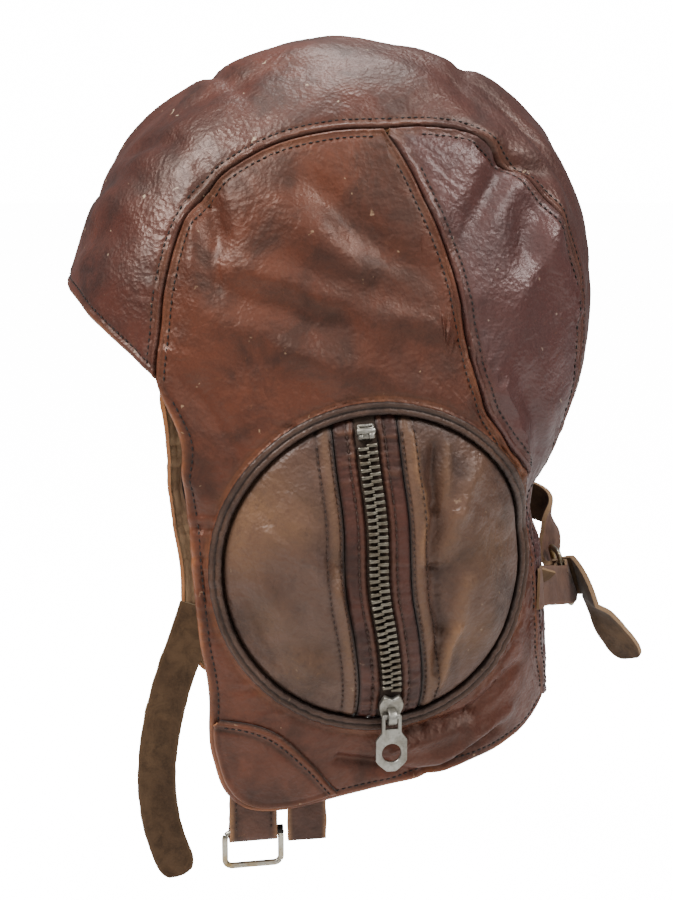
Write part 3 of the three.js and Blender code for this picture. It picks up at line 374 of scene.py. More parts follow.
def addCamera():
    azimuth, elevation = radians(view["azimuth"]), radians(view["elevation"])
    back = Vector((sin(azimuth) * cos(elevation), -cos(azimuth) * cos(elevation), sin(elevation)))
    camera = bpy.data.objects.new("photo_camera", bpy.data.cameras.new("photo_camera"))
    camera.data.lens = view["lens"]
    camera.data.sensor_width = view["sensor"]
    camera.data.clip_end = view["farthest"]
    camera.location = place(view["target"]) + back * view["distance"] * mm
    camera.rotation_euler = back.to_track_quat("Z", "Y").to_euler()
    bpy.context.scene.collection.objects.link(camera)
    bpy.context.scene.camera = camera


lamps = [  # name, azimuth and elevation as the camera's, distance and size in m, watts
    ("key_light", 22, 50, 1.25, 0.42, 21),
    ("fill_light", 100, 26, 1.8, 1.4, 8),
    ("back_light", 148, 46, 1.4, 0.50, 14),
    ("top_light", 250, 74, 1.2, 0.5, 9),
]
room = {  # strengths of the white backdrop and of the floor, lengths in m
    "seen": 16, "light": 0.24, "floorGlow": 15, "floorPaint": (0.86, 0.86, 0.85), "floorRoughness": 0.9,
    "floorRadius": 9, "floorHeight": -0.39,
}


def seenOrLit(tree, seen, lit):
    # one strength for what the camera sees of a backdrop, another for the light that it gives
    path = tree.nodes.new("ShaderNodeLightPath")
    mix = tree.nodes.new("ShaderNodeMapRange")
    tree.links.new(path.outputs["Is Camera Ray"], mix.inputs["Value"])
    mix.inputs["To Min"].default_value, mix.inputs["To Max"].default_value = lit, seen
    return mix.outputs["Result"]


def addLamps():
    middle = place((0, 0, 40))
    for name, azimuth, elevation, distance, size, watts in lamps:
        turn, lift = radians(azimuth), radians(elevation)
        way = Vector((sin(turn) * cos(lift), -cos(turn) * cos(lift), sin(lift)))
        data = bpy.data.lights.new(name, "AREA")
        data.shape, data.size, data.energy = "DISK", size, watts
        lamp = bpy.data.objects.new(name, data)
        lamp.location = middle + way * distance
        lamp.rotation_euler = way.to_track_quat("Z", "Y").to_euler()
        bpy.context.scene.collection.objects.link(lamp)
    world = bpy.data.worlds.new("pale_room")
    bpy.context.scene.world = world
    world.use_nodes = True
    background = world.node_tree.nodes["Background"]
    background.inputs["Color"].default_value = (1, 1, 1, 1)
    world.node_tree.links.new(seenOrLit(world.node_tree, room["seen"], room["light"]),
                              background.inputs["Strength"])


def addFloor():
    bm = bmesh.new()
    bmesh.ops.create_circle(bm, cap_ends=True, segments=64, radius=room["floorRadius"])
    bmesh.ops.translate(bm, verts=bm.verts, vec=(0, 0, room["floorHeight"]))
    mesh = bpy.data.meshes.new("pale_floor")
    bm.to_mesh(mesh)
    bm.free()
    floor = bpy.data.objects.new("pale_floor", mesh)
    material = bpy.data.materials.new("pale_floor")
    material.use_nodes = True
    shader = material.node_tree.nodes["Principled BSDF"]
    shader.inputs["Base Color"].default_value = (*room["floorPaint"], 1)
    shader.inputs["Roughness"].default_value = room["floorRoughness"]
    shader.inputs["Emission Color"].default_value = (1, 1, 1, 1)
    material.node_tree.links.new(seenOrLit(material.node_tree, room["floorGlow"], 0),
                                 shader.inputs["Emission Strength"])
    mesh.materials.append(material)
    bpy.context.scene.collection.objects.link(floor)


addCamera()
addLamps()
addFloor()
print("camera, lights and floor")

# Materials


class Tree:
    # one material's nodes, built by short calls
    def __init__(self, name):
        self.material = bpy.data.materials.new(name)
        self.material.use_nodes = True
        self.nodes, self.links = self.material.node_tree.nodes, self.material.node_tree.links
        self.shader = self.nodes["Principled BSDF"]
        self.place = self.nodes.new("ShaderNodeTexCoord").outputs["Object"]

    def feed(self, socket, value):
        if hasattr(value, "is_output"):
            self.links.new(value, socket)
        elif hasattr(value, "__len__"):
            socket.default_value = (*value, 1) if len(socket.default_value) == 4 else value
        else:
            socket.default_value = value

    def noise(self, scale, detail, roughness, distortion=0):
        node = self.nodes.new("ShaderNodeTexNoise")
        self.feed(node.inputs["Vector"], self.place)
        for key, value in (("Scale", scale), ("Detail", detail), ("Roughness", roughness),
                           ("Distortion", distortion)):
            node.inputs[key].default_value = value
        return node.outputs["Fac"]

    def cells(self, scale, feature, where):
        node = self.nodes.new("ShaderNodeTexVoronoi")
        node.feature = feature
        self.feed(node.inputs["Vector"], where)
        node.inputs["Scale"].default_value = scale
        return node.outputs["Distance"]

    def bent(self, scale, amount):
        # object coordinates pushed about by a noise, so that cells and waves don't run straight
        node = self.nodes.new("ShaderNodeTexNoise")
        self.feed(node.inputs["Vector"], self.place)
        node.inputs["Scale"].default_value = scale
        push = self.nodes.new("ShaderNodeVectorMath")
        push.operation = "MULTIPLY_ADD"
        self.feed(push.inputs[0], node.outputs["Color"])
        push.inputs[1].default_value = (amount, amount, amount)
        self.feed(push.inputs[2], self.place)
        return push.outputs["Vector"]

    def spread(self, value, low, high, outLow=0.0, outHigh=1.0):
        node = self.nodes.new("ShaderNodeMapRange")
        self.feed(node.inputs["Value"], value)
        limits = {"From Min": low, "From Max": high, "To Min": outLow, "To Max": outHigh}
        for key, number in limits.items():
            node.inputs[key].default_value = number
        return node.outputs["Result"]

    def maths(self, operation, first, second):
        node = self.nodes.new("ShaderNodeMath")
        node.operation = operation
        node.use_clamp = operation in ("ADD", "MULTIPLY")
        self.feed(node.inputs[0], first)
        self.feed(node.inputs[1], second)
        return node.outputs["Value"]

    def paint(self, factor, first, second):
        node = self.nodes.new("ShaderNodeMix")
        node.data_type = "RGBA"
        self.feed(node.inputs[0], factor)
        self.feed(node.inputs[6], first)
        self.feed(node.inputs[7], second)
        return node.outputs[2]

    def attribute(self, name):
        node = self.nodes.new("ShaderNodeAttribute")
        node.attribute_name = name
        return node.outputs["Fac"]

    def axis(self, name):
        node = self.nodes.new("ShaderNodeSeparateXYZ")
        self.feed(node.inputs[0], self.place)
        return node.outputs[name]

    def bump(self, height, strength, distance, before=None):
        node = self.nodes.new("ShaderNodeBump")
        self.feed(node.inputs["Height"], height)
        node.inputs["Strength"].default_value = strength
        node.inputs["Distance"].default_value = distance * mm
        if before:
            self.feed(node.inputs["Normal"], before)
        return node.outputs["Normal"]

    def finish(self, colour, roughness, normal=None, **constants):
        self.feed(self.shader.inputs["Base Color"], colour)
        self.feed(self.shader.inputs["Roughness"], roughness)
        if normal:
            self.feed(self.shader.inputs["Normal"], normal)
        for key, value in constants.items():
            self.feed(self.shader.inputs[key.replace("_", " ")], value)
        return self.material


hide = {  # how often the leather's patterns repeat in a metre, and how deep they are in mm
    "broad": 14, "patchy": 55, "fine": 420, "flecks": 105, "wrinkles": 150, "creases": 75, "grain": 720,
    "creaseDeep": 0.9, "wrinkleDeep": 0.28, "grainDeep": 0.28, "fineDeep": 0.12,
    "backFrom": 0.0, "backTo": 0.085,  # the panels turn to their back colour over this stretch, in m
    "coatRoughness": 0.28,
}


def leather(name, look):
    # look: one of the looks below; worn and dark come from the piece's own attributes, dark being painted
    # shade in seams, grooves and gaps, and crease lines on straps
    tree = Tree(name)
    broad = tree.noise(hide["broad"], 3, 0.5, 0.6)
    patchy = tree.noise(hide["patchy"], 5, 0.62, 0.4)
    fine = tree.noise(hide["fine"], 6, 0.7)
    colour = tree.paint(tree.spread(broad, 0.38, 0.64), look["base"], look["light"])
    colour = tree.paint(tree.spread(patchy, 0.42, 0.64, 0, 0.85), colour, look["dark"])
    if "back" in look:
        backward = tree.spread(tree.axis("Y"), hide["backFrom"], hide["backTo"], 0, 0.8)
        colour = tree.paint(backward, colour, look["back"])
    colour = tree.paint(tree.spread(fine, 0.5, 0.8, 0, 0.35), colour, look["dark"])
    rubbed = tree.maths("MULTIPLY", tree.attribute("worn"), tree.spread(patchy, 0.3, 0.55, 0.45, 1.3))
    rubbed = tree.maths("MULTIPLY", rubbed, tree.spread(fine, 0.25, 0.5, 0.35, 1.1))
    colour = tree.paint(rubbed, colour, look["worn"])
    scuffs = tree.maths("MULTIPLY", tree.spread(fine, 0.60, 0.74), tree.spread(broad, 0.42, 0.6, 0, 0.35))
    colour = tree.paint(scuffs, colour, look["worn"])
    chips = tree.cells(hide["flecks"], "F1", tree.bent(300, 0.006))
    flecks = tree.maths("MULTIPLY", tree.spread(chips, 0.075, 0.045), look["flecks"])
    colour = tree.paint(flecks, colour, look["fleck"])
    # painted shade: the dark attribute paints the groove colour into seams, grooves and gaps
    colour = tree.paint(tree.spread(tree.attribute("dark"), 0.0, 1.0, 0, 0.92), colour, look["groove"])
    low, high = look["roughness"]
    roughness = tree.spread(patchy, 0.3, 0.7, low, high)
    roughness = tree.maths("ADD", roughness, tree.spread(fine, 0.4, 0.8, 0, 0.12))
    wrinkles = tree.cells(hide["wrinkles"], "DISTANCE_TO_EDGE", tree.bent(60, 0.012))
    grain = tree.cells(hide["grain"], "F1", tree.bent(220, 0.002))
    normal = tree.bump(tree.noise(hide["creases"], 3, 0.5, 0.3), look["crease"], hide["creaseDeep"])
    normal = tree.bump(tree.spread(wrinkles, 0.0, 0.25), look["wrinkle"], hide["wrinkleDeep"], normal)
    normal = tree.bump(grain, look["grain"], hide["grainDeep"], normal)
    normal = tree.bump(fine, 0.4, hide["fineDeep"], normal)
    return tree.finish(colour, roughness, normal, Coat_Weight=look["coat"],
                       Coat_Roughness=hide["coatRoughness"], Specular_IOR_Level=look["shine"],
                       Specular_Tint=look["sheen"])


# groove, in each look, is the colour of the painted shade in seams, grooves and gaps
looks = {  # colours, then gloss and the strength of each pattern; sheen tints the highlights
    "crown": {
        "base": (0.050, 0.0132, 0.0090), "light": (0.085, 0.0235, 0.0150), "dark": (0.017, 0.0052, 0.0046),
        "worn": (0.21, 0.075, 0.032), "fleck": (0.55, 0.42, 0.28), "groove": (0.006, 0.003, 0.0025),
        "back": (0.050, 0.0160, 0.0138), "sheen": (1.0, 0.74, 0.62), "roughness": (0.35, 0.52),
        "shine": 0.56, "coat": 0.06, "flecks": 0.6, "wrinkle": 0.42, "crease": 0.60, "grain": 0.55,
    },
    "side": {
        "base": (0.062, 0.0168, 0.0095), "light": (0.108, 0.0305, 0.0158), "dark": (0.021, 0.0064, 0.0046),
        "worn": (0.26, 0.088, 0.032), "fleck": (0.50, 0.34, 0.20), "groove": (0.007, 0.0035, 0.0025),
        "back": (0.054, 0.0168, 0.0122), "sheen": (1.0, 0.70, 0.56), "roughness": (0.38, 0.56),
        "shine": 0.5, "coat": 0.04, "flecks": 0.35, "wrinkle": 0.40, "crease": 0.60, "grain": 0.55,
    },
    "rear": {
        "base": (0.054, 0.0160, 0.0125), "light": (0.088, 0.0280, 0.0210), "dark": (0.021, 0.0072, 0.0062),
        "worn": (0.21, 0.080, 0.036), "fleck": (0.50, 0.38, 0.28), "groove": (0.006, 0.003, 0.003),
        "back": (0.058, 0.0210, 0.0195), "sheen": (1.0, 0.80, 0.76), "roughness": (0.34, 0.50),
        "shine": 0.6, "coat": 0.07, "flecks": 0.35, "wrinkle": 0.45, "crease": 0.60, "grain": 0.55,
    },
    "pocket": {
        "base": (0.062, 0.0300, 0.0190), "light": (0.098, 0.0500, 0.0330), "dark": (0.026, 0.0120, 0.0085),
        "worn": (0.22, 0.110, 0.050), "fleck": (0.30, 0.20, 0.12), "groove": (0.006, 0.0035, 0.0025),
        "sheen": (1.0, 0.86, 0.8), "roughness": (0.38, 0.58),
        "shine": 0.42, "coat": 0.03, "flecks": 0.35, "wrinkle": 0.55, "crease": 0.80, "grain": 0.65,
    },
    "facing": {
        "base": (0.044, 0.0140, 0.0100), "light": (0.068, 0.0220, 0.0150), "dark": (0.018, 0.0065, 0.0050),
        "worn": (0.15, 0.060, 0.028), "fleck": (0.32, 0.20, 0.12), "groove": (0.006, 0.003, 0.0025),
        "sheen": (1.0, 0.8, 0.72), "roughness": (0.36, 0.54),
        "shine": 0.38, "coat": 0.04, "flecks": 0.2, "wrinkle": 0.35, "crease": 0.60, "grain": 0.5,
    },
    "loop": {
        "base": (0.058, 0.0200, 0.0130), "light": (0.090, 0.0350, 0.0220), "dark": (0.024, 0.0100, 0.0070),
        "worn": (0.24, 0.120, 0.055), "fleck": (0.45, 0.34, 0.22), "groove": (0.006, 0.0035, 0.0025),
        "sheen": (1.0, 0.85, 0.75), "roughness": (0.38, 0.58),
        "shine": 0.4, "coat": 0.03, "flecks": 0.5, "wrinkle": 0.35, "crease": 0.60, "grain": 0.6,
    },
}


def suede(name, base, light, dark):
    tree = Tree(name)
    broad = tree.noise(22, 4, 0.6, 0.5)
    patchy = tree.noise(110, 5, 0.65, 0.8)
    fibres = tree.noise(900, 4, 0.7)
    colour = tree.paint(tree.spread(broad, 0.38, 0.64), base, light)
    colour = tree.paint(tree.spread(patchy, 0.45, 0.7, 0, 0.7), colour, dark)
    colour = tree.paint(tree.spread(fibres, 0.45, 0.75, 0, 0.5), colour, light)
    colour = tree.paint(tree.attribute("worn"), colour, light)
    # the dark attribute: painted shade in seams and under the fastener's teeth, and crease lines along the
    # straps
    colour = tree.paint(tree.attribute("dark"), colour, dark)
    normal = tree.bump(patchy, 0.5, 0.5)
    normal = tree.bump(fibres, 0.6, 0.22, normal)
    return tree.finish(colour, tree.spread(patchy, 0.3, 0.7, 0.78, 0.95), normal,
                       Sheen_Weight=0.1, Sheen_Roughness=0.5, Specular_IOR_Level=0.25)


def metal(name, base, worn, roughness):
    tree = Tree(name)
    patchy = tree.noise(160, 5, 0.65, 0.5)
    fine = tree.noise(900, 4, 0.6)
    colour = tree.paint(tree.spread(patchy, 0.42, 0.66), base, worn)
    colour = tree.paint(tree.spread(fine, 0.5, 0.8, 0, 0.5), colour, (0.06, 0.055, 0.045))
    normal = tree.bump(fine, 0.35, 0.06)
    return tree.finish(colour, tree.spread(patchy, 0.3, 0.7, roughness - 0.08, roughness + 0.14), normal,
                       Metallic=1.0)


def thread(name, base, dark):
    tree = Tree(name)
    twist = tree.noise(1400, 3, 0.6)
    colour = tree.paint(tree.spread(twist, 0.4, 0.65), base, dark)
    return tree.finish(colour, tree.spread(twist, 0.3, 0.7, 0.7, 0.9), tree.bump(twist, 0.6, 0.12))


suedes = {  # base, light and dark
    "flesh_side": ((0.20, 0.115, 0.060), (0.29, 0.18, 0.10), (0.10, 0.052, 0.028)),
    "cut_edge": ((0.22, 0.075, 0.026), (0.31, 0.125, 0.048), (0.012, 0.005, 0.004)),
    "strap_suede": ((0.058, 0.029, 0.0125), (0.102, 0.055, 0.025), (0.023, 0.012, 0.006)),
    "nape_suede": ((0.074, 0.029, 0.017), (0.130, 0.060, 0.032), (0.030, 0.012, 0.008)),
    "pale_suede": ((0.21, 0.135, 0.058), (0.32, 0.22, 0.11), (0.10, 0.060, 0.028)),
    "zip_cloth": ((0.030, 0.017, 0.011), (0.048, 0.029, 0.018), (0.014, 0.008, 0.006)),
}
metals = {  # clean, worn, and roughness
    "zip_nickel": ((0.185, 0.165, 0.130), (0.105, 0.084, 0.058), 0.40),
    "slider_grey": ((0.33, 0.315, 0.280), (0.22, 0.200, 0.165), 0.42),
    "wire_nickel": ((0.42, 0.39, 0.32), (0.32, 0.22, 0.10), 0.34),
}
threads = {
    "dark_thread": ((0.012, 0.007, 0.005), (0.004, 0.003, 0.0025)),
    "brown_thread": ((0.050, 0.022, 0.012), (0.018, 0.008, 0.005)),
}
finishes = {name + "_leather": leather(name + "_leather", look) for name, look in looks.items()}
for make, table in ((suede, suedes), (metal, metals), (thread, threads)):
    for name, values in table.items():
        finishes[name] = make(name, *values)
print("materials made")

# Making pieces


def newPiece(name, bm, materials, body="root", replaces=(), wall=0, soften=0.0):
    # wall thickens a sheet inwards: slot 0 is its face, 1 the flesh side, 2 the cut edge
    mesh = bpy.data.meshes.new(name)
    for face in bm.faces:
        face.smooth = True
    bm.to_mesh(mesh)
    bm.free()
    piece = bpy.data.objects.new(name, mesh)
    bpy.context.scene.collection.objects.link(piece)
    for key in materials:
        mesh.materials.append(finishes[key])
    if wall:
        solid = piece.modifiers.new("wall", "SOLIDIFY")
        solid.thickness, solid.offset = wall * mm, -1
        solid.material_offset, solid.material_offset_rim = (1, 2) if len(materials) > 2 else (0, 0)
    if soften:
        bevel = piece.modifiers.new("soft_edge", "BEVEL")
        bevel.width, bevel.segments = soften * mm, 2
        bevel.limit_method, bevel.angle_limit = "ANGLE", radians(50)
        bevel.harden_normals = True
    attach(piece, body)
    if replaces:
        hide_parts(*replaces)
    return piece


def faceOut(bm, centre):
    # an open sheet shows its face away from the centre
    bmesh.ops.recalc_face_normals(bm, faces=bm.faces)
    total = sum(f.normal.dot(f.calc_center_median() - centre) * f.calc_area() for f in bm.faces)
    if total < 0:
        bmesh.ops.reverse_faces(bm, faces=bm.faces)


def mappedGrid(rows, columns, pointAt, join=False):
    # a grid whose vertices go to pointAt(row, column): a point, how worn it is there, and how dark: painted
    # shade in grooves, gaps and under parts, and crease lines on straps
    bm = bmesh.new()
    bmesh.ops.create_grid(bm, x_segments=rows - 1, y_segments=columns - 1, size=0.5)
    worn, dark = bm.verts.layers.float.new("worn"), bm.verts.layers.float.new("dark")
    for vert in bm.verts:
        row = round((vert.co.x + 0.5) * (rows - 1))
        column = round((vert.co.y + 0.5) * (columns - 1))
        vert.co, vert[worn], vert[dark] = pointAt(row, column)
    if join:
        bmesh.ops.remove_doubles(bm, verts=bm.verts, dist=0.00001)
    return bm


def addBm(target, extra):
    # joins one bmesh into another, by way of a mesh that is dropped again
    spare = bpy.data.meshes.new("spare")
    extra.to_mesh(spare)
    extra.free()
    target.from_mesh(spare)
    bpy.data.meshes.remove(spare)


def sweep(path, section, closed):
    # section(point, along) gives the ring of points round a point of the path
    rings = []
    count = len(path)
    for i, point in enumerate(path):
        ahead = path[(i + 1) % count] if closed or i < count - 1 else point
        behind = path[i - 1] if closed or i > 0 else point
        rings.append(section(point, (ahead - behind).normalized()))
    sides = len(rings[0])
    around = rings + [rings[0]] if closed else rings
    bm = mappedGrid(len(around), sides + 1, lambda i, j: (around[i][j % sides], 0, 0), True)
    if not closed:
        bmesh.ops.holes_fill(bm, edges=[e for e in bm.edges if e.is_boundary], sides=0)
    bmesh.ops.recalc_face_normals(bm, faces=bm.faces)
    return bm


stitch = {"pitch": 2.3, "long": 1.7, "wide": 0.62, "sink": 0.08}


def stitches(name, spots, key="dark_thread"):
    # spots: the middle of each stitch in metres, the way it runs and the way out of the leather
    bm = bmesh.new()
    long, wide = stitch["long"] / 2 * mm, stitch["wide"] / 2 * mm
    for spot, along, out in spots:
        across = out.cross(along).normalized()
        turned = Matrix((along, across, along.cross(across))).transposed().to_4x4()
        size = Matrix.Diagonal((long, wide, wide, 1))
        bmesh.ops.create_uvsphere(bm, u_segments=5, v_segments=4, radius=1,
                                  matrix=Matrix.Translation(spot) @ turned @ size)
    newPiece(name, bm, [key])


def rowOfSpots(path):
    # evenly spaced stitches along a list of (point, outward) pairs, all in metres
    pitch = stitch["pitch"] * mm
    spots, walked = [], pitch / 2
    for (a, outA), (b, outB) in zip(path, path[1:]):
        step = (b - a).length
        while walked < step:
            u = walked / step
            out = outA.lerp(outB, u).normalized()
            spots.append((a.lerp(b, u) - out * stitch["sink"] * mm, (b - a).normalized(), out))
            walked += pitch
        walked -= step
    return spots


# Leather panels

edgeSteps = [0, 0.45, 0.9, 1.5, 2.2, 2.9, 3.5, 4.1, 5.0, 6.4, 8.2]
edgeReach = 14  # past this distance an edge shapes nothing
seamStitch, hemStitch = 3.5, 3.3
edges = {  # rows of height or strength, distance from the edge and width
    "seam": {  # rolled down into the seam, a narrow lip beside it, and the channel of its stitches
        "relief": [(-1.25, 0, 0.55), (0.36, 1.3, 0.65), (-0.30, 2.3, 0.5), (-0.28, seamStitch, 0.6),
                   (0.12, 5.4, 1.5)],
        "worn": [(0.20, 2.2, 1.8)],
        # dark is painted shade: in the seam's gap, beside its lip and in the channel of its stitches
        "dark": [(1, 0, 0.5), (0.35, 2.3, 0.4), (0.3, seamStitch, 0.45)],
        "gather": 1,
    },
    "hem": {
        "relief": [(-0.5, 0, 0.6), (0.35, 1.6, 1.2), (-0.35, hemStitch, 0.6), (0.2, 5, 1.3)],
        "worn": [(0.75, 0.3, 1.3)],
        # dark is painted shade in the channel of the hem's stitches
        "dark": [(0.3, hemStitch, 0.45)],
        "gather": 0.5,
    },
}
panels = {  # bands across the middle, and a seed for the gathers
    "side": {"bands": 22, "seed": 3},
    "rear": {"bands": 14, "seed": 13},
    "crown": {"bands": 44, "seed": 30},
}


def hills(rows, d):
    return sum(high * hill(d - middle, width) for high, middle, width in rows)


def crowded(u, amount):
    # shares from 0 to 1 that lie closer together near both ends
    return u - amount * sin(2 * pi * u)


def pucker(along, d, seed):
    # small gathers where a seam pulls the leather
    wave = noise.noise(Vector((along / 3.4, seed, 0)))
    wave *= 0.6 + noise.noise(Vector((along / 25, seed, 5)))
    return 1.6 * wave * hill(d - 6, 5)


def acrossRows(low, high, rateLow, rateHigh, bands):
    # polar angles across a panel, close together near both edges
    width = (high - low) * (rateLow + rateHigh) / 2
    crowd = min(1, 0.42 * width / edgeSteps[-1])
    near = [low + s * crowd / rateLow for s in edgeSteps]
    far = [high - s * crowd / rateHigh for s in reversed(edgeSteps)]
    gap = far[0] - near[-1]
    return near + [near[-1] + gap * (i + 1) / (bands + 1) for i in range(bands)] + far


def anglesOver(low, high, hemLow=0, hemHigh=0):
    # columns of a panel, close together at an end that is a hem; hemLow and hemHigh are those ends' reach
    fixed = [low, high] + [a for a in (shell["browAngle"], shell["junctionAngle"]) if low < a < high]
    fixed += [low + degrees(s / hemLow) for s in edgeSteps[1:]] if hemLow else []
    fixed += [high - degrees(s / hemHigh) for s in edgeSteps[1:]] if hemHigh else []
    step = shell["angleStep"]
    count = int((high - low) / step)
    for i in range(1, count):
        angle = low + (high - low) * i / count
        if all(abs(angle - other) > 0.45 * step for other in fixed):
            fixed.append(angle)
    return sorted(fixed)


def panel(angles, lowEdge, highEdge, kinds, look, side, endReach=(0, 0)):
    # kinds(angle) gives the share of hem on the low and high edges; the rest is seam or ring
    columns = []
    for angle in angles:
        low, high = lowEdge(angle), highEdge(angle)
        rates = [mmPerRadian(angle, low) * slant(lowEdge, angle),
                 mmPerRadian(angle, high) * slant(highEdge, angle)]
        low += shell["seamGap"] / 2 / rates[0]
        high -= shell["seamGap"] / 2 / rates[1]
        rows = acrossRows(low, high, rates[0], rates[1], panels[look]["bands"])
        columns.append((angle, low, high, rates, rows))
    seed = panels[look]["seed"] + (0 if look == "crown" else side)

    def pointAt(row, column):
        angle, low, high, rates, polars = columns[column]
        polar = polars[row]
        base = shellBase(angle, polar)
        along = radians(angle) * hypot(base.y, base.z)
        # lift shapes the edges, worn is real rubbing, and dark is painted shade in the seams and stitch
        # channels
        lift, worn, dark = 0, 0, 0
        for edge, d, hem in ((0, (polar - low) * rates[0], kinds(angle)[0]),
                             (1, (high - polar) * rates[1], kinds(angle)[1])):
            for kind, share in (("seam", 1 - hem), ("hem", hem)):
                if d <= edgeReach and share > 0:
                    shape = edges[kind]
                    gathers = pucker(along, d, seed + edge * 9) * shape["gather"]
                    lift += share * (hills(shape["relief"], d) + gathers)
                    worn += share * hills(shape["worn"], d)
                    dark += share * hills(shape["dark"], d)
        for end, endAngle in zip(endReach, (angles[0], angles[-1])):
            d = radians(abs(angle - endAngle)) * end
            if end and d < edgeReach:
                lift += hills(edges["hem"]["relief"], d) + 0.5 * pucker(base.x, d, seed + 20)
                worn = max(worn, hills(edges["hem"]["worn"], d))
                dark = max(dark, hills(edges["hem"]["dark"], d))
        if worn:
            worn *= 0.75 + 1.1 * noise.noise(Vector((base.x / 14, base.y / 14, base.z / 14 + seed)))
        point = shellPoint(angle, polar, lift, side, shell["crease"])
        return place(point, side), max(min(worn, 1), 0), min(dark, 1)

    return pointAt, len(columns[0][-1]), len(columns)


def edgePath(angles, edge, inset, side, lift):
    # points a distance inside an edge, with the way out of the leather
    path = []
    for angle in angles:
        polar = edge(angle)
        polar += inset / (mmPerRadian(angle, polar) * slant(edge, angle))
        point = shellPoint(angle, polar, lift, side, shell["crease"])
        path.append((place(point, side), direction(shellNormal(angle, polar), side)))
    return path


def spanOf(low, high, step=0.7):
    count = max(int((high - low) / step), 2)
    return [low + (high - low) * i / count for i in range(count + 1)]


helmetMiddle = place((0, 0, 30))


def earMiddle(side):
    return place((20, 0, 0), side)


def ringEdge(angle):
    return polarFromRadius(angle, ring["outer"] - ring["overlap"])


def rearEdge(angle):
    return polarFromRadius(angle, rearSeamRadius(angle))


def hemEdge(angle):
    return polarFromRadius(angle, hemRadius(angle))


def farEdge(angle):
    # the crown strip's seam on the right
    return pi - crownSeamPolar(angle)


def seamsOnly(angle):
    return 0, 0


def hemShare(angle):
    # the side panel's outer edge is a free hem from the brow down and round to the nape
    brow, nape = shell["browAngle"], shell["napeAngle"]
    return 1 - smooth(angle, brow - 0.5, brow + 1) * (1 - smooth(angle, nape - 1, nape))


def panelPiece(name, bm, finish):
    newPiece(name + "_leather", bm, [finish, "flesh_side", "cut_edge"], replaces=[name],
             wall=shell["wall"], soften=shell["soften"])


def sidePanel(side):
    name = sided(side, "side_panel")
    brow, junction, nape = shell["browAngle"], shell["junctionAngle"], shell["napeAngle"]
    start = nape - 360  # the panel runs once round the ear, from the nape to the nape

    def outerEdge(angle):
        return sideEdgePolar(angle if angle > start + 0.01 else nape)

    def kinds(angle):
        return 0, hemShare(angle if angle > start + 0.1 else nape)

    pointAt, rows, columns = panel(anglesOver(start, nape), ringEdge, outerEdge, kinds, "side", side)
    bm = mappedGrid(rows, columns, lambda i, j: pointAt(i, 0 if j == columns - 1 else j), True)
    faceOut(bm, earMiddle(side))
    panelPiece(name, bm, "side_leather")
    spots = rowOfSpots(edgePath(spanOf(brow + 1, junction - 1), crownSeamPolar, -seamStitch, side, 0.1))
    spots += rowOfSpots(edgePath(spanOf(junction + 1.5, nape - 1), rearEdge, -seamStitch, side, 0.1))
    spots += rowOfSpots(edgePath(spanOf(start + 1, brow - 1), hemEdge, -hemStitch, side, 0.05))
    stitches(name + "_stitches", spots)


def rearPanel(side):
    name = sided(side, "rear_panel")
    low, nape, reach = shell["junctionAngle"] + shell["rearTip"], shell["napeAngle"], shell["rearReach"]
    angles = anglesOver(low, nape, 0, reach)
    pointAt, rows, columns = panel(angles, rearEdge, crownSeamPolar, seamsOnly, "rear", side, (0, reach))
    bm = mappedGrid(rows, columns, pointAt)
    faceOut(bm, helmetMiddle)
    panelPiece(name, bm, "rear_leather")
    stitched = spanOf(shell["junctionAngle"] + 5, nape - 1)
    spots = rowOfSpots(edgePath(stitched, rearEdge, seamStitch, side, 0.1))
    spots += rowOfSpots(edgePath(stitched, crownSeamPolar, -seamStitch, side, 0.1))
    stitches(name + "_stitches", spots)


def crownStrip():
    ends = (shell["browAngle"], shell["napeAngle"])
    reaches = (shell["browReach"], shell["napeReach"])
    angles = anglesOver(*ends, *reaches)
    pointAt, rows, columns = panel(angles, crownSeamPolar, farEdge, seamsOnly, "crown", 1, reaches)
    bm = mappedGrid(rows, columns, pointAt)
    faceOut(bm, helmetMiddle)
    panelPiece("crown_strip", bm, "crown_leather")
    stitched = spanOf(ends[0] + 1, ends[1] - 1)
    spots = rowOfSpots(edgePath(stitched, crownSeamPolar, seamStitch, 1, -0.1))
    spots += rowOfSpots(edgePath(stitched, farEdge, -seamStitch, 1, -0.1))
    for angle, inwards in ((ends[0], 1), (ends[1], -1)):
        turned = angle + inwards * degrees(hemStitch / 130)
        start, count = crownSeamPolar(turned) + 0.04, 89
        path = []
        for i in range(count + 1):
            polar = start + (pi - 2 * start) * i / count
            path.append((place(shellPoint(turned, polar, 0, 1, shell["crease"])),
                         direction(shellNormal(turned, polar))))
        spots += rowOfSpots(path)
    stitches("crown_strip_stitches", spots)


for side in (1, -1):
    sidePanel(side)
    rearPanel(side)
crownStrip()
print("leather panels")

# Chin patches

patch = {
    "height": 1.65, "wall": 1.2, "inset": 2.2, "columns": 70, "rows": 34, "crowd": 0.12, "soften": 0.35,
    "lip": [(-0.9, 0, 0.7), (0.25, 1.6, 0.9), (-0.3, 3.2, 0.6)],
    "stitchIn": 2.9, "groove": 4.6,
}


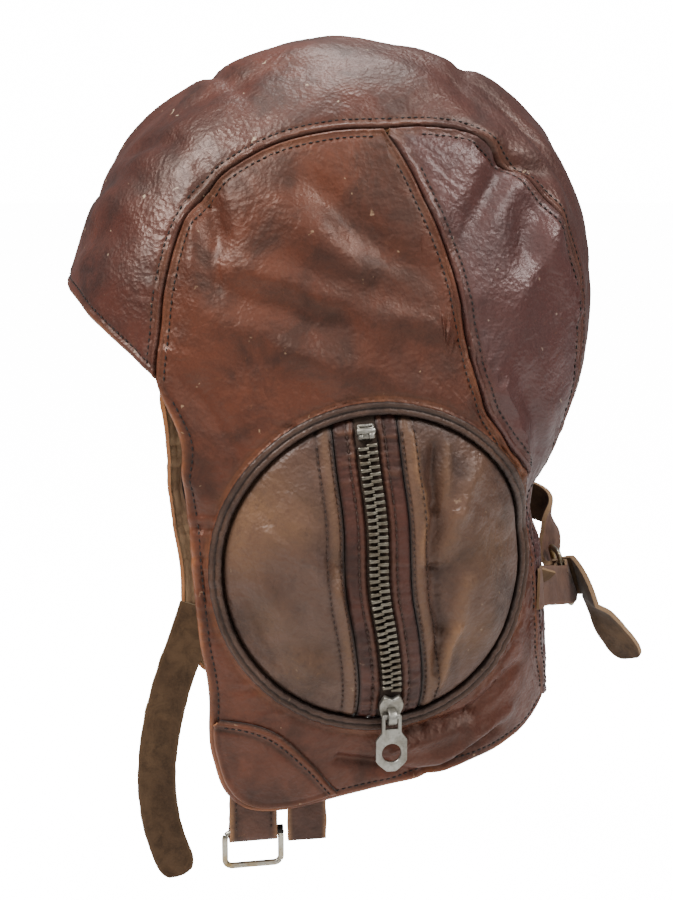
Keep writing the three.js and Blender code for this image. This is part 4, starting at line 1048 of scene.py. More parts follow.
def chinPatch(side):
    name = sided(side, "chin_patch")
    first, last = patchRows[0][0], patchRows[-1][0]

    def pointAt(row, column):
        angle = first + (last - first) * column / (patch["columns"] - 1)
        edge = hemRadius(angle) - patch["inset"]
        start = min(patchRadius(angle), edge - patch["inset"] / 2)
        radius = start + crowded(row / (patch["rows"] - 1), patch["crowd"]) * (edge - start)
        fromStart, fromHem = radius - start, edge - radius
        lift = patch["height"] + hills(patch["lip"], min(fromStart, fromHem))
        lift -= 0.6 * hill(fromStart - patch["groove"], 0.8)
        worn = 0.35 * hill(fromHem, 1.4) + 0.12 * hill(fromStart - 1.5, 1)
        # painted shade along the patch's inner edge and in its groove
        dark = hill(fromStart, 0.7) + 0.7 * hill(fromStart - patch["groove"], 0.6)
        turn = radians(angle)
        point = shellFromSide(radius * cos(turn), radius * sin(turn), lift, side, shell["crease"])
        return place(point, side), min(worn, 1), min(dark, 1)

    bm = mappedGrid(patch["rows"], patch["columns"], pointAt)
    faceOut(bm, earMiddle(side))
    newPiece(name + "_leather", bm, ["side_leather", "cut_edge", "cut_edge"],
             replaces=[name], wall=patch["wall"], soften=patch["soften"])
    path = []
    for angle in spanOf(first + 1.5, last - 1.5, 0.8):
        radius = min(patchRadius(angle), hemRadius(angle) - patch["inset"] * 1.5) + patch["stitchIn"]
        turn, height = radians(angle), patch["height"] + 0.1
        point = shellFromSide(radius * cos(turn), radius * sin(turn), height, side, shell["crease"])
        path.append((place(point, side), direction(shellNormal(angle, polarFromRadius(angle, radius)), side)))
    stitches(name + "_stitches", rowOfSpots(path))


for side in (1, -1):
    chinPatch(side)

# Ear rings: a stuffed welt, drawn in by its stitches


def earRing(side):
    name = sided(side, "ear_ring")
    sides, count = ring["sides"], ring["count"]

    def pointAt(row, column):
        angle = 360 * (column % (count - 1)) / (count - 1)
        turn = 2 * pi * (row % (sides - 1)) / (sides - 1)
        drawn = noise.noise(Vector((angle / 2.6, side * 4, 0))) * ring["puckers"]
        drawn += 0.25 * noise.noise(Vector((angle / 11, side * 4, 3)))
        across = 0.5 + 0.5 * cos(turn)
        high = max(sin(turn), 0)
        up = ring["depth"] * min(sin(turn), 0) + ring["height"] * (0.72 + 0.3 * drawn) * high ** 0.6
        up -= ring["grooveDeep"] * hill(across - ring["groove"], 0.11) * high
        radius = ring["outer"] - ring["width"] * (1 - across) + drawn * 0.5
        point = shellPoint(angle, polarFromRadius(angle, radius), up + drawn * 0.4 * high)
        # painted shade in the welt's mid-groove and underneath it where it meets the shell; the 0.12 added
        # below is the welt's own darker tone
        dark = 0.75 * hill(across - ring["groove"], 0.1) * high + hill(high, 0.6)
        return place(point, side), 0.12 * high ** 3 * (0.5 + drawn), min(0.12 + dark, 1)

    bm = mappedGrid(sides, count, pointAt, True)
    bmesh.ops.recalc_face_normals(bm, faces=bm.faces)
    newPiece(name + "_welt", bm, ["pocket_leather"], replaces=[name])


for side in (1, -1):
    earRing(side)
print("chin patches and ear rings")

# Ear pockets

pocket = {
    "wall": 1.5, "dome": 8, "fullness": 0.7, "corner": 3, "crease": 0.6, "soften": 0.35,
    "stitchIn": (0.9, 5.4), "columns": 150, "rows": 64, "crowd": 0.13, "chainWidth": 6.6, "gap": 0.4,
}
facing = {
    "width": 7, "wall": 1.2, "soften": 0.25, "stitchIn": 2.6, "gather": 0.85, "columns": 180, "rows": 22,
    "gatherFrom": 18, "gatherTo": 42,  # how far up and down the gathers begin, and are full
}
pocketRadius = ring["outer"] - ring["width"] - pocket["gap"]
tuck = {"reach": 1.6, "sink": 1.15}  # the rims go this far under the welt
rimRadius = pocketRadius + tuck["reach"]
facingStart = pocket["chainWidth"] / 2 + pocket["gap"]
facingEnd = facingStart + facing["width"]
leafStart = facingEnd + pocket["gap"]
scuffRows = [  # forward, up, radius in mm, and strength of the tan rubbed places
    (43, 22, 9, 0.42), (46, 8, 8, 0.35), (30, 20, 8, 0.28), (36, 34, 6, 0.20), (26, -30, 12, 0.16),
    (-36, 6, 12, 0.20), (-30, -24, 9, 0.22), (38, -14, 8, 0.16),
]


def zipForward(up):
    return ring["outer"] * zipShare(up)


def pocketPoint(forward, up, height, side=1, crease=0):
    # the domed pocket, with its folds dying away at the rim and at the fastener
    rim = min(hypot(forward, up) / pocketRadius, 1)
    offset = forward - zipForward(up)
    dome = pocket["dome"] * (1 - rim * rim) ** pocket["fullness"]
    folds = (1 - rim ** 6) * planeFolds(pocketFolds, ring["outer"], forward, up)
    lines = alongLines("front" if offset > 0 else "rear", forward, up)[0] * (1 - rim ** 16)
    ease = smooth(abs(offset), facingEnd, facingEnd + facing["width"])
    lift = height + dome + folds * ease + lines * smooth(abs(offset), leafStart, leafStart + 1.5)
    if crease:
        spot = Vector((forward, up, side * 9))
        gathers = noise.noise(Vector((atan2(up, forward) * 9, rim * 2, side)))
        gathers *= smooth(rim, 0.62, 0.95) * 0.9
        deep = abs(noise.noise(spot / 11 + Vector((3, 0, 0)))) - 0.25
        lift += crease * ((noise.noise(spot / 24) - 1.4 * deep) * ease + gathers) * (1 - rim ** 10)
    return shellFromSide(forward, up, lift)


def pocketOut(forward, up):
    a, b = pocketPoint(forward + 0.5, up, 0), pocketPoint(forward - 0.5, up, 0)
    c, d = pocketPoint(forward, up + 0.5, 0), pocketPoint(forward, up - 0.5, 0)
    out = (a - b).cross(c - d).normalized()
    return out if out.x > 0 else -out


def rimHeight(offset, way, margin=0):
    # how far up or down a line beside the fastener meets the rim
    up = way * pocketRadius
    for _ in range(8):
        up = way * sqrt((rimRadius - margin) ** 2 - (zipForward(up) + offset) ** 2)
    return up


def rimSink(forward, up):
    return -tuck["sink"] * smooth(hypot(forward, up), pocketRadius - 1.6, rimRadius)


def stitchesBeside(low, high, margin, reach, offset, lift, side, crease=0):
    # a row of stitches along the fastener; margin is the share left free at each end
    path, count = [], 60
    for i in range(count + 1):
        up = low + (high - low) * (margin + (1 - 2 * margin) * i / count)
        forward = zipForward(up) + offset
        if hypot(forward, up) < reach:
            point = pocketPoint(forward, up, lift, side, crease)
            path.append((place(point, side), direction(pocketOut(forward, up), side)))
    return rowOfSpots(path)


def pocketLeaf(side, way):
    name = sided(side, "pocket_front" if way > 0 else "pocket_rear")
    low = rimHeight(way * leafStart, -1, pocket["corner"])
    high = rimHeight(way * leafStart, 1, pocket["corner"])
    lowTurn = atan2(low, zipForward(low) + way * leafStart)
    highTurn = atan2(high, zipForward(high) + way * leafStart)
    start = lowTurn if way > 0 else lowTurn + 2 * pi
    outerStitch = pocket["stitchIn"][1]

    def pointAt(row, column):
        v = column / (pocket["columns"] - 1)
        u = crowded(row / (pocket["rows"] - 1), pocket["crowd"])
        up = low + v * (high - low)
        forward = zipForward(up) + way * leafStart
        turn = start + v * (highTurn - start)
        f = forward + u * (rimRadius * cos(turn) - forward)
        z = up + u * (rimRadius * sin(turn) - up)
        fromZip, fromRim = abs(f - zipForward(z)) - leafStart, pocketRadius - hypot(f, z)
        lift = -0.7 * hill(fromZip, 0.7) + 0.22 * hill(fromZip - 2.6, 1.6) + rimSink(f, z)
        for inset in pocket["stitchIn"]:
            lift -= 0.4 * hill(fromZip - inset, 0.55)
        # painted shade beside the fastener, at the rim where the leaf tucks under the welt, and along the
        # outer stitches
        dark = hill(fromZip, 0.7) + 0.8 * smooth(-fromRim, -2.2, 0) + 0.35 * hill(fromZip - outerStitch, 0.5)
        worn = 0.22 * hill(fromZip - 2.6, 1.6)
        worn += alongLines("front" if way > 0 else "rear", f, z)[1]
        for sf, sz, size, strength in scuffRows:
            worn += strength * exp(-((f - sf) ** 2 + (z - sz) ** 2) / size ** 2)
        return place(pocketPoint(f, z, lift, side, pocket["crease"]), side), min(worn, 1), min(dark, 1)

    bm = mappedGrid(pocket["rows"], pocket["columns"], pointAt)
    faceOut(bm, earMiddle(side))
    newPiece(name + "_leather", bm, ["pocket_leather", "flesh_side", "cut_edge"],
             replaces=[name], wall=pocket["wall"], soften=pocket["soften"])
    spots = []
    for inset in pocket["stitchIn"]:
        spots += stitchesBeside(low, high, 0.02, pocketRadius - 1.5, way * (leafStart + inset), 0.05, side,
                                pocket["crease"])
    stitches(name + "_stitches", spots, "brown_thread")


def zipFacing(side, way):
    name = sided(side, "zip_facing_front" if way > 0 else "zip_facing_rear")
    low, high = rimHeight(way * facingEnd, -1), rimHeight(way * facingEnd, 1)

    def pointAt(row, column):
        up = low + (high - low) * column / (facing["columns"] - 1)
        u = row / (facing["rows"] - 1)
        inset = u * facing["width"]
        d, fromStitch = min(inset, facing["width"] - inset), inset - facing["stitchIn"]
        lift = -0.6 * hill(d, 0.6) + 0.2 * hill(inset - 1.4, 0.9) - 0.4 * hill(fromStitch, 0.5)
        gather = 0.35 + 0.65 * smooth(up, facing["gatherFrom"], facing["gatherTo"])
        gather += 0.4 * smooth(-up, facing["gatherFrom"], facing["gatherTo"])
        wave = noise.noise(Vector((up / 1.9, u * 0.9, way * 3 + side)))
        lift += facing["gather"] * gather * wave * (0.4 + 0.6 * sin(pi * u))
        # painted shade at the facing's edges, along its stitches and in the valleys of its gathers
        dark = 0.9 * hill(d, 0.5) + 0.35 * hill(fromStitch, 0.45) + 0.5 * max(-wave, 0) * gather
        worn = 0.16 * hill(inset - 1.2, 0.9) + 0.3 * max(wave, 0) * gather
        forward = zipForward(up) + way * (facingStart + inset)
        lift += rimSink(forward, up)
        return place(pocketPoint(forward, up, lift), side), min(worn, 1), min(dark, 1)

    bm = mappedGrid(facing["rows"], facing["columns"], pointAt)
    faceOut(bm, earMiddle(side))
    newPiece(name + "_leather", bm, ["facing_leather"], replaces=[name],
             wall=facing["wall"], soften=facing["soften"])
    spots = stitchesBeside(low, high, 0.03, rimRadius, way * (facingStart + facing["stitchIn"]), -0.1, side)
    stitches(name + "_stitches", spots, "brown_thread")


for side in (1, -1):
    for way in (1, -1):
        pocketLeaf(side, way)
        zipFacing(side, way)
print("ear pockets")

# Slide fasteners: two rows of teeth that meet, on their tapes

zipper = {
    "pitch": 2.3, "toothAcross": 3.7, "toothAlong": 1.25, "toothHigh": 1.9, "height": 1.4,
    "toothBevel": 0.22, "tipAcross": 0.78, "tipAlong": 0.86,  # a tooth narrows to its hooked tip
    "tapeWall": 0.8, "tapeOver": 3, "tapeDeep": 0.55, "tapeStep": 1.7, "tapeColumns": 110, "tapeRows": 41,
    "stopLong": 5, "stopSunk": 0.8, "sliderLong": 10, "sliderWide": 8.4, "plate": 2, "lift": 0.7,
    "foot": 0.75, "waist": 0.2, "head": 0.7, "bailInner": 1.5, "bailWall": 1.2, "bailWide": 3,
}
stopSteps = [  # blocks of the top stop: across, along, wide, long and high
    (0, 2.5, 5.6, 5.0, 1.3), (0, 2.6, 6.4, 1.9, 2.2), (0, 4.3, 5.0, 1.0, 1.9), (-1.7, 1.2, 1.9, 2.0, 2.4),
    (1.8, 0.9, 1.6, 1.2, 1.9),
]
zipHalf = pocket["chainWidth"] / 2
chainTop = rimHeight(zipHalf, 1, 1 + tuck["reach"]) - zipper["stopLong"] - 2 * pocket["gap"]
sliderUp = rimHeight(zipHalf, -1, 1 + tuck["reach"]) + zipper["sliderLong"] / 2
chainLow = sliderUp + zipper["sliderLong"] / 2 + pocket["gap"]


def plate(loops, thick, rounding, segments=2):
    # a flat plate from closed outlines; every outline after the first is a hole
    bm = bmesh.new()
    for loop in loops:
        verts = [bm.verts.new((x, y, -thick / 2)) for x, y in loop]
        for a, b in zip(verts, verts[1:] + verts[:1]):
            bm.edges.new((a, b))
    bmesh.ops.triangle_fill(bm, use_beauty=True, edges=list(bm.edges))
    raised = bmesh.ops.extrude_face_region(bm, geom=list(bm.faces))["geom"]
    raisedVerts = [v for v in raised if isinstance(v, bmesh.types.BMVert)]
    bmesh.ops.translate(bm, verts=raisedVerts, vec=(0, 0, thick))
    bmesh.ops.recalc_face_normals(bm, faces=bm.faces)
    bmesh.ops.dissolve_limit(bm, angle_limit=0.02, verts=bm.verts, edges=bm.edges)
    sharp = [e for e in bm.edges if e.is_manifold and e.calc_face_angle() > 0.9]
    bmesh.ops.bevel(bm, geom=sharp, offset=rounding, affect="EDGES", segments=segments, profile=0.5,
                    material=-1)
    return bm


def block(size, rounding):
    bm = bmesh.new()
    bmesh.ops.create_cube(bm, size=1, matrix=Matrix.Diagonal((*size, 1)))
    bmesh.ops.bevel(bm, geom=list(bm.edges), offset=rounding, affect="EDGES", segments=1, profile=0.5,
                    material=-1)
    return bm


def arc(x, y, radius, first, last, count):
    turns = [radians(first + (last - first) * i / count) for i in range(count + 1)]
    return [(x + radius * cos(turn), y + radius * sin(turn)) for turn in turns]


def settle(bm, axes, centre, side):
    # local axes to the helmet's: axes are the local x, y and z as lateral, forward, up
    for vert in bm.verts:
        x, y, z = vert.co
        vert.co = place(centre + axes[0] * x + axes[1] * y + axes[2] * z, side)
    bmesh.ops.recalc_face_normals(bm, faces=bm.faces)


def zipFrame(forward, up):
    # across the fastener, up along it, and out of it
    ahead = pocketPoint(zipForward(up + 2), up + 2, 0)
    behind = pocketPoint(zipForward(up - 2), up - 2, 0)
    along = (ahead - behind).normalized()
    across = along.cross(pocketOut(forward, up)).normalized()
    return across, along, across.cross(along).normalized()


def zipTape(side):
    low, high = rimHeight(0, -1), rimHeight(0, 1)
    halfWide = leafStart + zipper["tapeOver"]

    def pointAt(row, column):
        up = low + (high - low) * column / (zipper["tapeColumns"] - 1)
        offset = (row / (zipper["tapeRows"] - 1) - 0.5) * 2 * halfWide
        forward = zipForward(up) + offset
        under = smooth(abs(offset), facingStart - 0.6, facingStart + 1.2)  # it dips under the facings
        lift = -zipper["tapeDeep"] - zipper["tapeStep"] * under + rimSink(forward, up) / 2
        # the tape's middle, under the teeth, carries painted shade
        return place(pocketPoint(forward, up, lift), side), 0, 0.4 * hill(offset, 1.5)

    bm = mappedGrid(zipper["tapeRows"], zipper["tapeColumns"], pointAt)
    faceOut(bm, earMiddle(side))
    newPiece(sided(side, "zip_chain_tape"), bm, ["zip_cloth"], wall=zipper["tapeWall"])


def zipTeeth(side):
    bm = bmesh.new()
    count = int((chainTop - chainLow) / zipper["pitch"] * 2)
    for i in range(count):
        way = 1 if i % 2 else -1
        up = chainLow + zipper["pitch"] / 2 * (i + 0.5)
        forward = zipForward(up) + way * (zipHalf - zipper["toothAcross"] / 2)
        size = (zipper["toothAcross"], zipper["toothAlong"], zipper["toothHigh"])
        tooth = block(size, zipper["toothBevel"])
        for vert in tooth.verts:
            if vert.co.x * way < 0:
                vert.co.z *= zipper["tipAcross"]
                vert.co.y *= zipper["tipAlong"]
        axes = zipFrame(forward, up)
        if axes[0].y < 0:
            axes = (-axes[0], axes[1], axes[2])
        settle(tooth, axes, pocketPoint(forward, up, zipper["height"] - zipper["toothHigh"] / 2), side)
        addBm(bm, tooth)
    newPiece(sided(side, "zip_chain_teeth"), bm, ["zip_nickel"],
             replaces=[sided(side, "zip_chain")])


def zipTopStop(side):
    name = sided(side, "zip_top_stop")
    bm = bmesh.new()
    low, sunk = chainTop + pocket["gap"], zipper["stopSunk"]
    for across, along, wide, long, high in stopSteps:
        up = min(low + along, low + zipper["stopLong"] - long / 2)
        step = block((wide, long, high + sunk), 0.3)
        forward = zipForward(up) + across
        settle(step, zipFrame(forward, up), pocketPoint(forward, up, (high - sunk) / 2), side)
        addBm(bm, step)
    newPiece(name + "_steps", bm, ["slider_grey"], replaces=[name])


bailUp = -zipper["sliderLong"] / 2 + zipper["bailInner"] + zipper["bailWall"]
bailLift = zipper["lift"] + zipper["plate"] + zipper["bailInner"]


def sliderAxes():
    # the slider's middle on the pocket, and its axes across, up and out
    forward = zipForward(sliderUp)
    up = (pocketPoint(forward, sliderUp + 2, 0) - pocketPoint(forward, sliderUp - 2, 0)).normalized()
    out = Vector((0, 1, 0)).cross(up).normalized()
    across = up.cross(out).normalized()
    return pocketPoint(forward, sliderUp, 0), (across, up, out if out.x > 0 else -out)


def bothHalves(rightHalf):
    # an outline that mirrors about its own upright, from the half that is drawn
    return rightHalf + [(-x, y) for x, y in reversed(rightHalf)]


def zipSlider(side):
    name = sided(side, "zip_slider")
    half, end = zipper["sliderWide"] / 2, zipper["sliderLong"] / 2
    foot, head, waist = zipper["foot"] * half, zipper["head"] * half, zipper["waist"] * end
    outline = bothHalves([(foot - 0.6, -end), (foot, -end + 0.6), (half, waist - 0.8), (half, waist + 0.8),
                          (head, end - 0.4), (head - 0.5, end), (0.5, end - 1.3)])
    bm = plate([outline], zipper["plate"], 0.45, 3)
    bmesh.ops.translate(bm, verts=bm.verts, vec=(0, 0, zipper["lift"] + zipper["plate"] / 2))
    inner, outer = zipper["bailInner"], zipper["bailInner"] + zipper["bailWall"]
    base = -inner - zipper["plate"] / 2
    outside = [(-outer, base), (outer, base)] + arc(0, 0.2, outer, 0, 180, 14)
    inside = [(-inner, -inner), (inner, -inner)] + arc(0, 0.1, inner, 0, 180, 14)
    arch = plate([outside, inside], zipper["bailWide"], 0.3)
    for vert in arch.verts:  # the arch stands along the slider
        vert.co = Vector((vert.co.z, vert.co.x + bailUp, vert.co.y + bailLift))
    addBm(bm, arch)
    centre, axes = sliderAxes()
    settle(bm, axes, centre, side)
    newPiece(name + "_body", bm, ["slider_grey"], replaces=[name])


pull = {
    "bar": 0.75, "long": 20, "wide": 11, "neck": 7, "windowWide": 4.4, "windowLong": 4.4, "windowWall": 1.4,
    "thick": 1.3, "hole": 3.4, "holeDrop": 0.66, "shoulder": 0.42, "chin": 0.80, "tip": 0.35,
}


def zipPull(side):
    neck, half, long, bar = pull["neck"] / 2, pull["wide"] / 2, pull["long"], pull["bar"]
    neckEnd = -pull["windowLong"] - pull["windowWall"]
    shoulder, chinUp, tip = -pull["shoulder"] * long, -pull["chin"] * long, pull["tip"] * half
    outline = bothHalves([(tip - 0.6, -long), (tip, -long + 0.25), (half - 0.7, chinUp - 1.2), (half, chinUp),
                          (half, shoulder), (neck, neckEnd), (neck, bar - 0.5), (neck - 0.5, bar)])
    window = pull["windowWide"] / 2
    slot = [(-window, -bar), (window, -bar), (window, -pull["windowLong"]), (-window, -pull["windowLong"])]
    hole = arc(0, -pull["holeDrop"] * long, pull["hole"], 0, 345, 23)
    bm = plate([outline, slot, hole], pull["thick"], 0.32, 3)
    centre, axes = sliderAxes()
    pivot = centre + axes[1] * bailUp + axes[2] * bailLift
    settle(bm, (Vector((0, 1, 0)), Vector((0, 0, 1)), Vector((1, 0, 0))), pivot, side)
    newPiece(sided(side, "zip_pull_tab"), bm, ["slider_grey"], sided(side, "pull"),
             [sided(side, "zip_pull")])


for side in (1, -1):
    zipTape(side)
    zipTeeth(side)
    zipTopStop(side)
    zipSlider(side)
    zipPull(side)
print("slide fasteners")

# Straps and buckles

chin = {
    "strapWidth": 17, "strapWall": 1.8, "strapInset": 0.72, "strapLong": 131, "strapAngle": -48,
    "strapBelowHem": 2.2, "strapPoints": 110, "soften": 0.4,
    "wire": 1.1, "wireSides": 14, "frameWidth": 22.5, "frameHeight": 15, "frameCorner": 2.5,
    "eye": 2, "ply": 1.5, "reach": 20, "loopAngle": -64.5, "barBelowHem": 10.7,
    "foldStart": 1.8, "foldEnd": 0.6, "loopPoints": 120, "loopColumns": 21, "loopSoften": 0.3,
    "windings": 9, "windingSteps": 10, "windingPitch": 0.22, "threadRadius": 0.34,
    "backingInset": 0.9, "backingWidth": 14, "backingLong": 22, "backingClearance": 3.4, "backingPoints": 40,
}
loopWall = chin["ply"] - 0.1
chinStrapRows = [  # share of the strap's length, and lean from the vertical in degrees
    (0.12, 20), (0.11, 21), (0.11, 17), (0.11, 13), (0.11, 8), (0.11, 2), (0.11, -6), (0.11, -14),
    (0.11, -20),
]


def insideShell(forward, up, depth):
    # how far out a strap may lie against the shell's inside
    angle = degrees(atan2(up, forward))
    polar = polarFromRadius(angle, hypot(forward, up))
    return shellPoint(angle, polar, 0).x - (shell["wall"] + depth) / shellNormal(angle, polar).x


def clearInside(forward, up, halfWide, halfHigh, depth, otherwise=shell["halfBreadth"]):
    # the same for a whole rectangle of leather; otherwise is what it is below the hem
    found = [otherwise]
    for across in (-1, -0.5, 0, 0.5, 1):
        for along in (-1, -0.5, 0, 0.5, 1):
            f, z = forward + across * halfWide, up + along * halfHigh
            if hypot(f, z) < hemRadius(degrees(atan2(z, f))):
                found.append(insideShell(f, z, depth))
    return min(found)


def smoothPath(points, count):
    # evenly walked points on a curve through the given ones
    spans = [(b - a).length for a, b in zip(points, points[1:])]
    total, path = sum(spans), []
    padded = [points[0] * 2 - points[1]] + points + [points[-1] * 2 - points[-2]]
    for i in range(count):
        want, k = total * i / (count - 1), 0
        while k < len(spans) - 1 and want > spans[k]:
            want -= spans[k]
            k += 1
        t = min(want / spans[k], 1)
        a, b, c, d = padded[k:k + 4]
        path.append(0.5 * (2 * b + (c - a) * t + (2 * a - 5 * b + 4 * c - d) * t * t
                           + (3 * b - a - 3 * c + d) * t ** 3))
    return path


def strapBm(path, wides, width, side, seed, tip=0.3, tipLong=9, cup=0.5, columns=15):
    # a flat strap along a path; wides gives its width's direction at each point
    count = len(path)
    walked = [0]
    for a, b in zip(path, path[1:]):
        walked.append(walked[-1] + (b - a).length)

    def pointAt(row, column):
        along = (path[min(row + 1, count - 1)] - path[max(row - 1, 0)]).normalized()
        wide = (wides[row] - along * wides[row].dot(along)).normalized()
        out = wide.cross(along).normalized()
        fromTip, share = walked[-1] - walked[row], 1
        if tip and fromTip <= tipLong:
            share = tip + (1 - tip) * sqrt(max(1 - (1 - fromTip / tipLong) ** 2, 0))
        u = 2 * crowded(column / (columns - 1), 0.06) - 1
        edge = 0.35 * noise.noise(Vector((walked[row] / 6, seed + (3 if u > 0 else 8), 0))) * abs(u) ** 3
        bend = cup * (u * u - 0.4) * noise.noise(Vector((walked[row] / 30, seed, 2))) * 2
        bend += 0.35 * noise.noise(Vector((walked[row] / 9, u * 1.2, seed)))
        point = path[row] + wide * (u * width / 2 * share + edge) + out * bend
        fromEdge = 1 - abs(u)
        return place(point, side), 0.75 * hill(fromEdge, 0.16), 0.25 * hill(fromEdge - 0.25, 0.06)

    return mappedGrid(count, columns, pointAt)


def centreWall(bm, wall):
    # moves a sheet out by half its wall, so that its solid lies about the path
    bm.normal_update()
    for vert in bm.verts:
        vert.co += vert.normal * wall / 2 * mm


strapInside = place((0, 40, -40))  # the straps' inner sides face this point


def chinStrap():
    radius = hemRadius(chin["strapAngle"]) - chin["strapWidth"] / 2 - chin["strapBelowHem"]
    turn = radians(chin["strapAngle"])
    forward, up = radius * cos(turn), radius * sin(turn)
    depth, half = chin["strapInset"] + chin["strapWall"] / 2, chin["strapWidth"] / 2
    lateral = clearInside(forward, up, half, half, depth)
    points = [Vector((lateral, forward, up))]
    for share, lean in chinStrapRows:
        forward += share * chin["strapLong"] * sin(radians(lean))
        up -= share * chin["strapLong"] * cos(radians(lean))
        lateral = clearInside(forward, up, half, half, depth, lateral)
        points.append(Vector((lateral, forward, up)))
    path = smoothPath(points, chin["strapPoints"])
    bm = strapBm(path, [Vector((0, 1, 0))] * len(path), chin["strapWidth"], -1, 4)
    faceOut(bm, strapInside)
    centreWall(bm, chin["strapWall"])
    newPiece("right_chin_strap_leather", bm, ["strap_suede", "strap_suede", "pale_suede"],
             replaces=["right_chin_strap"], wall=chin["strapWall"], soften=chin["soften"])


def chinBar():
    radius = hemRadius(chin["loopAngle"])
    forward = radius * cos(radians(chin["loopAngle"]))
    up = radius * sin(radians(chin["loopAngle"])) - chin["barBelowHem"]
    half = chin["reach"] / 2
    lateral = clearInside(forward, up + half, chin["strapWidth"] / 2, half, chin["strapInset"])
    return Vector((lateral - chin["eye"] - chin["ply"], forward, up))


def foldedTab():
    # a leather tab folded round the bar: local x out of the tab, y up it and z across it
    reach, eye, columns = chin["reach"], chin["eye"], chin["loopColumns"]
    outer, middle = eye + loopWall, eye + loopWall / 2
    turnedUp, tuckedIn = chin["foldStart"] * outer, chin["foldEnd"] * outer
    route = [(middle, reach * (1 - i / 14)) for i in range(14)]
    route += [(middle * cos(radians(t)), middle * sin(radians(t))) for t in range(0, -181, -12)]
    route += [(-middle, tuckedIn * 0.5), (-middle * 0.9, tuckedIn), (outer - 1.6 * loopWall, turnedUp)]
    route += [(outer - 1.55 * loopWall, turnedUp + (reach - turnedUp) * i / 8) for i in range(1, 9)]
    path = smoothPath([Vector((x, y, 0)) for x, y in route], chin["loopPoints"])

    def pointAt(row, column):
        x, y, _ = path[row]
        fromEdge = min(column, columns - 1 - column)
        across = (column / (columns - 1) - 0.5) * chin["strapWidth"]
        if fromEdge == 0:
            across += 0.3 * noise.noise(Vector((y / 4, 0, column // (columns // 2))))
        return Vector((x, y, across)), 0.8 * hill(fromEdge, 1.3), 0.3 * hill(fromEdge - 3, 0.7)

    bm = mappedGrid(len(path), columns, pointAt)
    bm.normal_update()
    front = [f for f in bm.faces
             if f.calc_center_median().y > reach * 0.7 and f.calc_center_median().x > middle * 0.9]
    if sum(f.normal.x for f in front) < 0:
        bmesh.ops.reverse_faces(bm, faces=bm.faces)
    bm.normal_update()
    for vert in bm.verts:
        vert.co += vert.normal * loopWall / 2
    return bm


def leftBuckleLoop():
    bm = foldedTab()
    bar = chinBar()
    for vert in bm.verts:
        x, y, z = vert.co
        vert.co = place(bar + Vector((x, -z, y)))
    bmesh.ops.reverse_faces(bm, faces=bm.faces)  # that change of axes mirrors the tab
    newPiece("left_buckle_loop_leather", bm, ["loop_leather", "strap_suede", "cut_edge"],
             replaces=["left_buckle_loop"], wall=loopWall, soften=chin["loopSoften"])
    spots = []
    face = chin["eye"] + chin["ply"] + 0.05
    for way in (1, -1):
        across = way * (chin["strapWidth"] / 2 - 2.2)
        path = [(place(bar + Vector((face, across, up))), Vector((1, 0, 0))) for up in (2, 8, 14)]
        spots += rowOfSpots(path)
    stitches("left_buckle_loop_stitches", spots, "brown_thread")


def wireRoute(width, height, bends, seed):
    # a rounded rectangle of slightly bent wire, its points about 1.2 mm apart at most
    radius, corner = chin["wire"], chin["frameCorner"]
    halfWide, halfHigh = width / 2 - radius - corner, height / 2 - radius - corner
    route = []
    for sx, sy, turn in ((1, 1, 0), (-1, 1, 90), (-1, -1, 180), (1, -1, 270)):
        for step in range(0, 91, 10):
            angle = radians(turn + step)
            x, y = sx * halfWide + corner * cos(angle), sy * halfHigh + corner * sin(angle)
            route.append(Vector((x, y, 0)))
    full = []
    for a, b in zip(route, route[1:] + route[:1]):
        count = max(int((b - a).length / 1.2), 1)
        full += [a.lerp(b, i / count) for i in range(count)]
    for point in full:
        point.z += bends * noise.noise(Vector((point.x / 6, point.y / 6, seed)))
        if abs(point.x) < halfWide:
            point.y += bends * 0.6 * noise.noise(Vector((point.x / 7, seed, 4)))
    return full


def wireBm(route, radius, sides, closed=True):
    # wire along a route in metres, swept in millimetres, where its small faces keep apart
    def section(point, along):
        up = Vector((0, 0, 1)) if abs(along.z) < 0.8 else Vector((0, 1, 0))
        out = along.cross(up).normalized()
        over = out.cross(along)
        return [point + (out * cos(2 * pi * k / sides) + over * sin(2 * pi * k / sides)) * radius
                for k in range(sides)]

    bm = sweep([point / mm for point in route], section, closed)
    bmesh.ops.scale(bm, verts=bm.verts, vec=(mm, mm, mm))
    return bm


def leftBuckleFrame():
    bar = chinBar()
    top = chin["frameHeight"] / 2 - chin["wire"]
    placed = []
    for point in wireRoute(chin["frameWidth"], chin["frameHeight"], 0.3, 2):
        bent = point.z * (1 if point.y < top - 1 else 0)  # the bar itself stays straight
        placed.append(place(bar + Vector((bent, point.x, point.y - top))))
    bm = wireBm(placed, chin["wire"], chin["wireSides"])
    newPiece("left_buckle_frame_wire", bm, ["wire_nickel"], "chin_buckle",
             ["left_buckle_frame"])


def leftBuckleWhipping():
    # dark thread wound on the bar beside the loop
    bar, bound = chinBar(), []
    first = bar.y - chin["strapWidth"] / 2 - 0.4
    reach, steps = chin["wire"] + 0.32, chin["windingSteps"]
    for i in range(chin["windings"] * steps + 1):
        turn = 2 * pi * i / steps
        forward = first - i * chin["windingPitch"] / steps
        bound.append(place(Vector((bar.x + reach * cos(turn), forward, bar.z + reach * sin(turn)))))
    bm = wireBm(bound, chin["threadRadius"], 6, False)
    newPiece("left_buckle_whipping", bm, ["dark_thread"], "chin_buckle")


